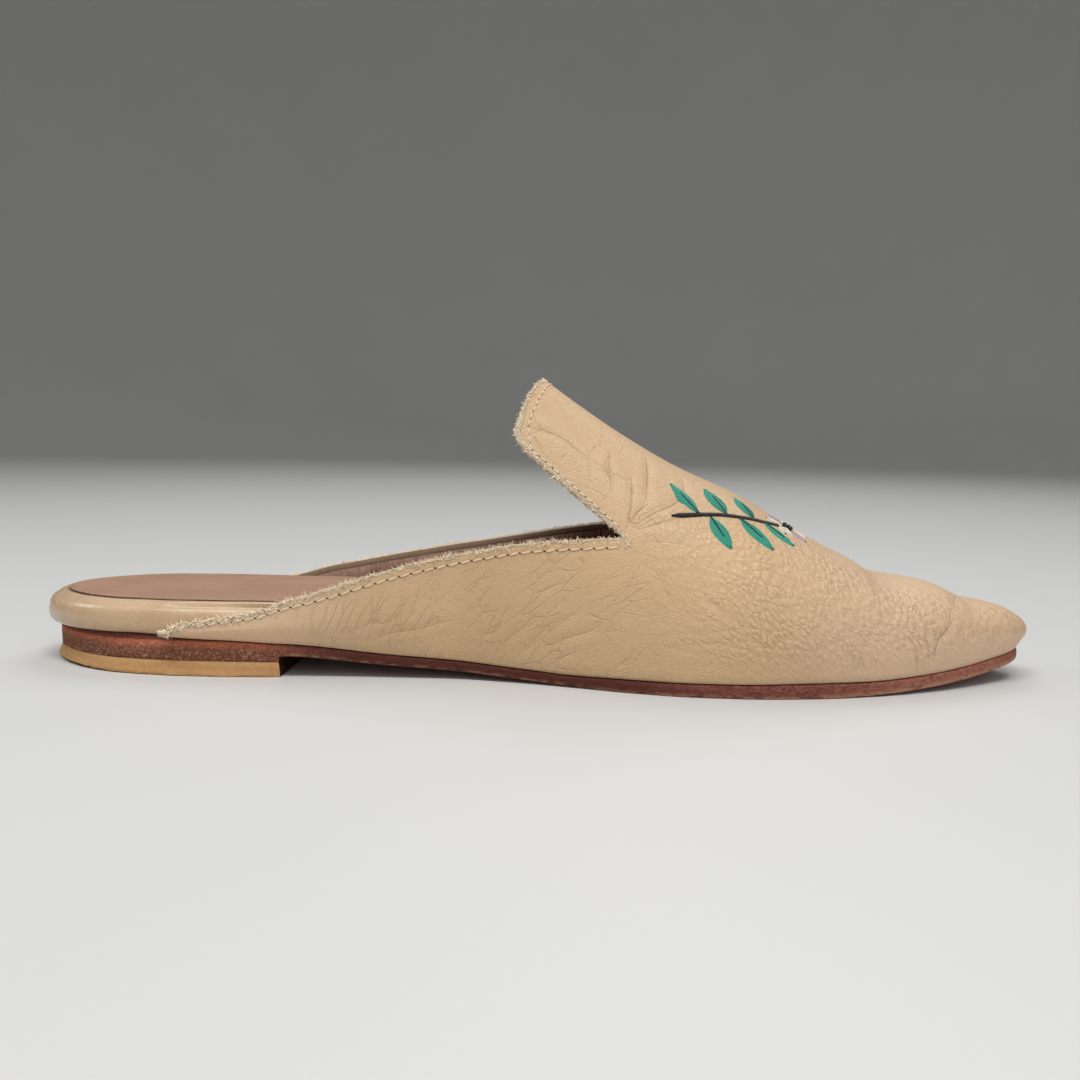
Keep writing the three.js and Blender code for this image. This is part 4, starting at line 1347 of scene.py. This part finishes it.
class MULE_OT_upper(BuildStep, bpy.types.Operator):
    """Lasted upper of thick leather with raw edges, and its creases"""

    bl_idname = "mule.upper"
    bl_label = "Upper"

    def execute(self, context):
        bm = bmesh.new()
        lay_skin(bm, WING_END, 0.0, 1.25)
        points = np.array([vert.co for vert in bm.verts])
        normals = np.array([vert.normal for vert in bm.verts])
        rises, folds, depths = creased(points, normals)
        edges = edge_gaps(points)
        fold, fold_depth, edge = (float_layer(bm, name) for name in ("fold", "fold_depth", "edge"))
        for i, vert in enumerate(bm.verts):
            vert.co += Vector(normals[i]) * float(rises[i])
            vert[fold], vert[fold_depth], vert[edge] = folds[i], depths[i], edges[i]
        bm.normal_update()
        rim, inner = thicken(bm, lambda vert: wall_at(vert.co.x))
        for number, faces in enumerate((rim, inner), 1):
            for face in faces:
                face.material_index = number
        finishes = [pebbled_leather(self.look), raw_edge_leather(self.look), flesh_side_leather(self.look)]
        finish_piece("lasted_upper", bm, finishes, "upper")
        return {"FINISHED"}


class MULE_OT_lining(BuildStep, bpy.types.Operator):
    """Lining inside the upper, set below its cut edges"""

    bl_idname = "mule.lining"
    bl_label = "Lining"

    def execute(self, context):
        thickness = self.sizes.lining_thickness / MM
        bm = bmesh.new()
        back, gap = WING_TIP + 10, 0.15
        lay_skin(bm, back, self.sizes.lining_inset / MM, 0.6)
        for vert in bm.verts:
            vert.co -= vert.normal * (wall_at(vert.co.x) + gap)
        bm.normal_update()
        thicken(bm, lambda vert: thickness * lerp(0.15, 1, smooth(back, back + 12, vert.co.x)))
        finish_piece("upper_lining", bm, [lining_leather(self.look)])
        return {"FINISHED"}


class MULE_OT_stitching(BuildStep, bpy.types.Operator):
    """Rows of stitches inside the collar edges and round the tab, with their needle holes"""

    bl_idname = "mule.stitching"
    bl_label = "Stitching"

    # Turn in degrees from the seam's direction, and pitch on the tab in shares of the collar's
    stitch_turn, hole_turn = 7, -38
    tab_share = 0.72

    def execute(self, context):
        inset = self.sizes.stitch_inset / MM
        stitches, holes = bmesh.new(), bmesh.new()
        for spots, share in (
            (collar_line(MEDIAL, inset, WING_TIP + 9), 1.0),
            (collar_line(LATERAL, inset, WING_TIP + 9), 1.0),
            (tab_line(inset), self.tab_share),
        ):
            self.sew(SkinPath(spots), share, stitches, holes)
        for side in (MEDIAL, LATERAL):
            self.tack(side, stitches, holes)
        finish_piece("edge_stitches", stitches, [thread("cream_thread", self.look.thread)])
        # The needle holes are dark beads of painted shade
        finish_piece("needle_holes", holes, [needle_hole(self.look)])
        return {"FINISHED"}

    def stitch(self, stitches, point, normal, forward, turn, reach):
        width = self.sizes.thread_width / MM / 2
        place = lay_frame(point + normal * 0.1, forward, normal)
        bead(stitches, place, turn, (reach, width, 0.8 * width), 8)

    def tack(self, side, stitches, holes):
        """Two crossed stitches where the collar meets the tab."""
        spot = (THROAT + 1.2, side, throat_share[side] - 0.012)
        point, normal = last_point(*spot), last_normal(*spot)
        forward = (Vector((1, 0, 0)) - normal * normal.x).normalized()
        for turn, reach in ((52, 1.5), (-38, 1.2)):
            self.stitch(stitches, point, normal, forward, turn, reach)
        bead(holes, lay_frame(point, forward, normal), 0, (0.55, 0.4, 0.14), 4)

    def sew(self, path, share, stitches, holes):
        """Row of stitches along a path, with a needle hole at the start of each."""
        pitch = share * self.sizes.stitch_pitch / MM
        count = int(path.length / pitch)
        start = (path.length - count * pitch) / 2
        for k in range(count):
            self.stitch(stitches, *path.at(start + (k + 0.5) * pitch), self.stitch_turn, 0.43 * pitch)
            point, normal, forward = path.at(start + k * pitch)
            size = (0.4 * share, 0.19 * share, 0.1)
            bead(holes, lay_frame(point, forward, normal), self.hole_turn, size, 4)


class MULE_OT_fray(BuildStep, bpy.types.Operator):
    """Loose fibres along the cut edges of the upper"""

    bl_idname = "mule.fray"
    bl_label = "Frayed edges"

    # Shares of the fibres: strays, and those that lie on the grain; on the tab they are sparser
    strays = 0.004
    on_grain = 0.5
    tab_density = 0.65
    # Shape of a fibre: sections, share that it tapers by, spread along the edge, curl, thickness in mm
    sections = 3
    taper = 0.7
    spread = 1.5
    curliness = 2.4
    thickness = (0.09, 0.16)

    def execute(self, context):
        chance = Random(7)
        paths = [SkinPath(collar_line(MEDIAL)), SkinPath(collar_line(LATERAL)), SkinPath(tab_line())]
        total = sum(path.length for path in paths)
        fibres = []
        for path, side, wing in zip(paths, (MEDIAL, LATERAL, MEDIAL), (True, True, False)):
            density = 1.0 if wing else self.tab_density
            for _ in range(round(self.sizes.fibre_count * density * path.length / total)):
                fibres.append(self.fibre(path, side, wing, chance))
        finish_piece("edge_fibres", self.grown(fibres), [fibre_fuzz(self.look)])
        return {"FINISHED"}

    def grown(self, fibres):
        """Curled three-sided hairs, drawn out of a triangle each and tapered to the tip."""
        bm = bmesh.new()
        order = bm.verts.layers.int.new("order")
        bmesh.ops.create_grid(bm, x_segments=1, y_segments=math.ceil(len(fibres) / 2), size=1)
        bmesh.ops.triangulate(bm, faces=bm.faces)
        bmesh.ops.split_edges(bm, edges=bm.edges)
        bmesh.ops.delete(bm, geom=list(bm.faces)[len(fibres):], context="FACES")
        tips = list(bm.faces)
        for number, face in enumerate(tips):
            for corner, vert in enumerate(face.verts):
                vert[order] = 3 * number + corner
        for t in steps(0, 1, self.sections):
            if t:
                tips = bmesh.ops.extrude_discrete_faces(bm, faces=tips)["faces"]
            for vert in (vert for face in tips for vert in face.verts):
                base, heading, curl, length, thick = fibres[vert[order] // 3]
                turn = 2 * math.pi * (vert[order] % 3) / 3
                lean = (heading + curl * 2 * t).normalized()
                left = lean.orthogonal().normalized()
                corner = left * math.cos(turn) + lean.cross(left) * math.sin(turn)
                vert.co = base + (heading + curl * t) * length * t + corner * thick * (1 - self.taper * t)
        bmesh.ops.holes_fill(bm, edges=[edge for edge in bm.edges if edge.is_boundary])
        bmesh.ops.recalc_face_normals(bm, faces=bm.faces)
        return bm

    def fibre(self, path, side, wing, chance):
        """Root, heading, curl, length and thickness of a hair; at a wing's tip they mat to a fringe."""
        share = chance.random() ** (1.6 if wing else 1)
        point, normal, forward = path.at(share * path.length)
        matted = smooth(84, 44, point.x) if wing else 0.0
        tuft = 0.75 + 0.6 * smooth(0.0, 0.5, noise.noise(point * 0.45))
        out = normal.cross(forward) * -side
        flat = chance.random() < self.on_grain
        rise = chance.uniform(0.0, 0.2) if flat else chance.uniform(-0.4, 0.5)
        sway = chance.uniform(-self.spread, self.spread)
        heading = (out * (0.25 if flat else 0.4) + forward * sway + normal * rise).normalized()
        length = self.sizes.fibre_length / MM * chance.uniform(0.5, 1.2) * tuft * (1 + 0.25 * matted)
        if chance.random() < self.strays or (wing and share > 0.985):
            length *= chance.uniform(1.5, 2.2)
        if flat:
            base = point - out * chance.uniform(0.0, 0.9 + 0.4 * matted)
        else:
            sunk = chance.random() * (wall_at(point.x) - 0.3)
            base = point - normal * sunk * (1 - 0.7 * matted) - out * chance.uniform(0.05, 0.25 + matted)
        curl = Vector([chance.uniform(-1, 1) for _ in range(3)]) * self.curliness
        curl -= normal * curl.dot(normal) * 0.7 + heading * 0.6
        thick = chance.uniform(*self.thickness) * (1 + 0.5 * matted)
        return base, heading, curl, length, thick


class MULE_OT_embroidery(BuildStep, bpy.types.Operator):
    """Small sprig of satin-stitched leaves and a flower on the vamp"""

    bl_idname = "mule.embroidery"
    bl_label = "Embroidery"

    # Where the sprig sits on the medial side of the ridge
    station, share = 182.0, 0.74
    # Leaves: foot and tip in mm towards the toe and towards the ridge, and half-width
    leaves = (
        ((-9.0, -5.6), (-15.5, 0.5), 2.3),
        ((-6.5, -5.0), (-2.0, -12.5), 2.4),
        ((-2.0, -2.4), (-6.5, 5.5), 2.6),
        ((1.0, -1.6), (8.5, -7.5), 2.5),
        ((5.0, 1.0), (1.5, 8.5), 2.3),
        ((7.5, 2.4), (14.5, -1.5), 2.1),
    )
    stem = ((-16.0, -9.5), (-10.0, -6.4), (-4.0, -3.4), (2.0, -0.8), (8.0, 2.6), (12.0, 6.0))
    flower = (14.6, 8.4)
    petals = 6
    petal_length, petal_width = 5.4, 1.9
    thread_pitch = 0.42
    sunk = 0.12

    def execute(self, context):
        leaves, stem, cream, pink = (bmesh.new() for _ in range(4))
        for foot, tip, width in self.leaves:
            self.satin(leaves, [foot, tip], width, 0.42)
            vein = [foot, (lerp(foot[0], tip[0], 0.7), lerp(foot[1], tip[1], 0.7))]
            self.satin(stem, vein, 0.28, 0.62)
        self.satin(stem, self.stem, 0.6, 0.5, blunt=True)
        for k in range(self.petals):
            turn = 2 * math.pi * (k + 0.3) / self.petals
            petal = [self.off_flower(turn, reach) for reach in (1.0, self.petal_length)]
            self.satin(pink if k % 3 == 2 else cream, petal, self.petal_width, 0.45)
        for k in range(7):
            point, normal = self.on_vamp(*self.off_flower(k * math.pi / 3, 0.95 if k else 0))
            place = Matrix.Translation(point + normal * 0.5) @ Matrix.Scale(0.52, 4)
            bmesh.ops.create_icosphere(stem, subdivisions=2, radius=1, matrix=place)
        for name, bm, tone in (
            ("sprig_leaves", leaves, self.look.leaf),
            ("sprig_stem", stem, self.look.stem),
            ("sprig_petals", cream, self.look.petal),
            ("sprig_blush_petals", pink, self.look.blush),
        ):
            finish_piece(name, bm, [satin_thread(name, tone)])
        return {"FINISHED"}

    def off_flower(self, turn, reach):
        """Place on the sprig at a turn and a distance from the flower's middle."""
        return self.flower[0] + reach * math.cos(turn), self.flower[1] + reach * math.sin(turn)

    def on_vamp(self, a, b):
        """Point and normal `a` mm to the toe and `b` mm up from the sprig's middle, past the ridge too."""
        x = self.station + a
        around = (last_point(x, MEDIAL, 0.9) - last_point(x, MEDIAL, 0.7)).length / 0.2
        share = self.share + b / around
        if share <= 1:
            return last_point(x, MEDIAL, share), last_normal(x, MEDIAL, share)
        return last_point(x, LATERAL, 2 - share), last_normal(x, LATERAL, 2 - share)

    def satin(self, bm, line, width, rise, blunt=False):
        """Satin stitches across a line: a closed, crowned strip with a thread's jag at each edge."""
        ply = float_layer(bm, "ply")
        spans = [math.dist(a, b) for a, b in zip(line, line[1:])]
        threads = max(4, round(sum(spans) / self.thread_pitch))
        rows, columns = 2 * threads, 8
        made = bmesh.ops.create_grid(bm, x_segments=rows, y_segments=columns, size=1)
        for vert in made["verts"]:
            u = (vert.co.x + 1) / 2
            i, v = round(u * rows), vert.co.y
            whole = u * sum(spans)
            k = 0
            while k < len(spans) - 1 and whole > spans[k]:
                whole -= spans[k]
                k += 1
            (a0, b0), (a1, b1) = line[k], line[k + 1]
            t = whole / spans[k]
            run = ((a1 - a0) / spans[k], (b1 - b0) / spans[k])
            swell = min(1.0, 0.3 + 9 * u) if blunt else max(0.12, math.sin(math.pi * u**0.85)) ** 0.75
            jag = 0.1 if i % 2 else -0.1
            reach = (width * swell + jag) * v
            slope = 0.35 * width * abs(v) * (0 if blunt else 1)
            a = lerp(a0, a1, t) - run[1] * reach + run[0] * slope
            b = lerp(b0, b1, t) + run[0] * reach + run[1] * slope
            point, normal = self.on_vamp(a, b)
            crown = rise * math.sqrt(max(0.0, 1 - v * v)) + (0.06 if i % 2 else -0.03)
            vert.co = point + normal * (crown - self.sunk)
            vert[ply] = i / 2
        rim = [edge for edge in bm.edges if edge.is_boundary]
        for edge in rim:
            edge.smooth = False
        bmesh.ops.holes_fill(bm, edges=rim)
        bmesh.ops.recalc_face_normals(bm, faces=bm.faces)


class VIEW3D_PT_mule(bpy.types.Panel):
    """Steps and settings of the mule"""

    bl_label = "Leather Mule"
    bl_space_type = "VIEW_3D"
    bl_region_type = "UI"
    bl_category = "Mule"

    def draw(self, context):
        layout = self.layout
        for step in STEPS:
            layout.operator(step.bl_idname)
        for group in (context.scene.mule_sizes, context.scene.mule_look):
            for name in group.bl_rna.properties.keys():
                if name not in {"rna_type", "name"}:
                    layout.prop(group, name)


STEPS = (
    MULE_OT_stage,
    MULE_OT_sole,
    MULE_OT_footbed,
    MULE_OT_sock,
    MULE_OT_upper,
    MULE_OT_lining,
    MULE_OT_stitching,
    MULE_OT_fray,
    MULE_OT_embroidery,
)
CLASSES = (MuleSizes, MuleLook, *STEPS, VIEW3D_PT_mule)


def register():
    for item in CLASSES:
        bpy.utils.register_class(item)
    bpy.types.Scene.mule_sizes = PointerProperty(type=MuleSizes)
    bpy.types.Scene.mule_look = PointerProperty(type=MuleLook)


def unregister():
    del bpy.types.Scene.mule_look
    del bpy.types.Scene.mule_sizes
    for item in reversed(CLASSES):
        bpy.utils.unregister_class(item)


def main():
    register()
    for step in STEPS:
        group, name = step.bl_idname.split(".")
        getattr(getattr(bpy.ops, group), name)()


if __name__ == "__main__":
    main()
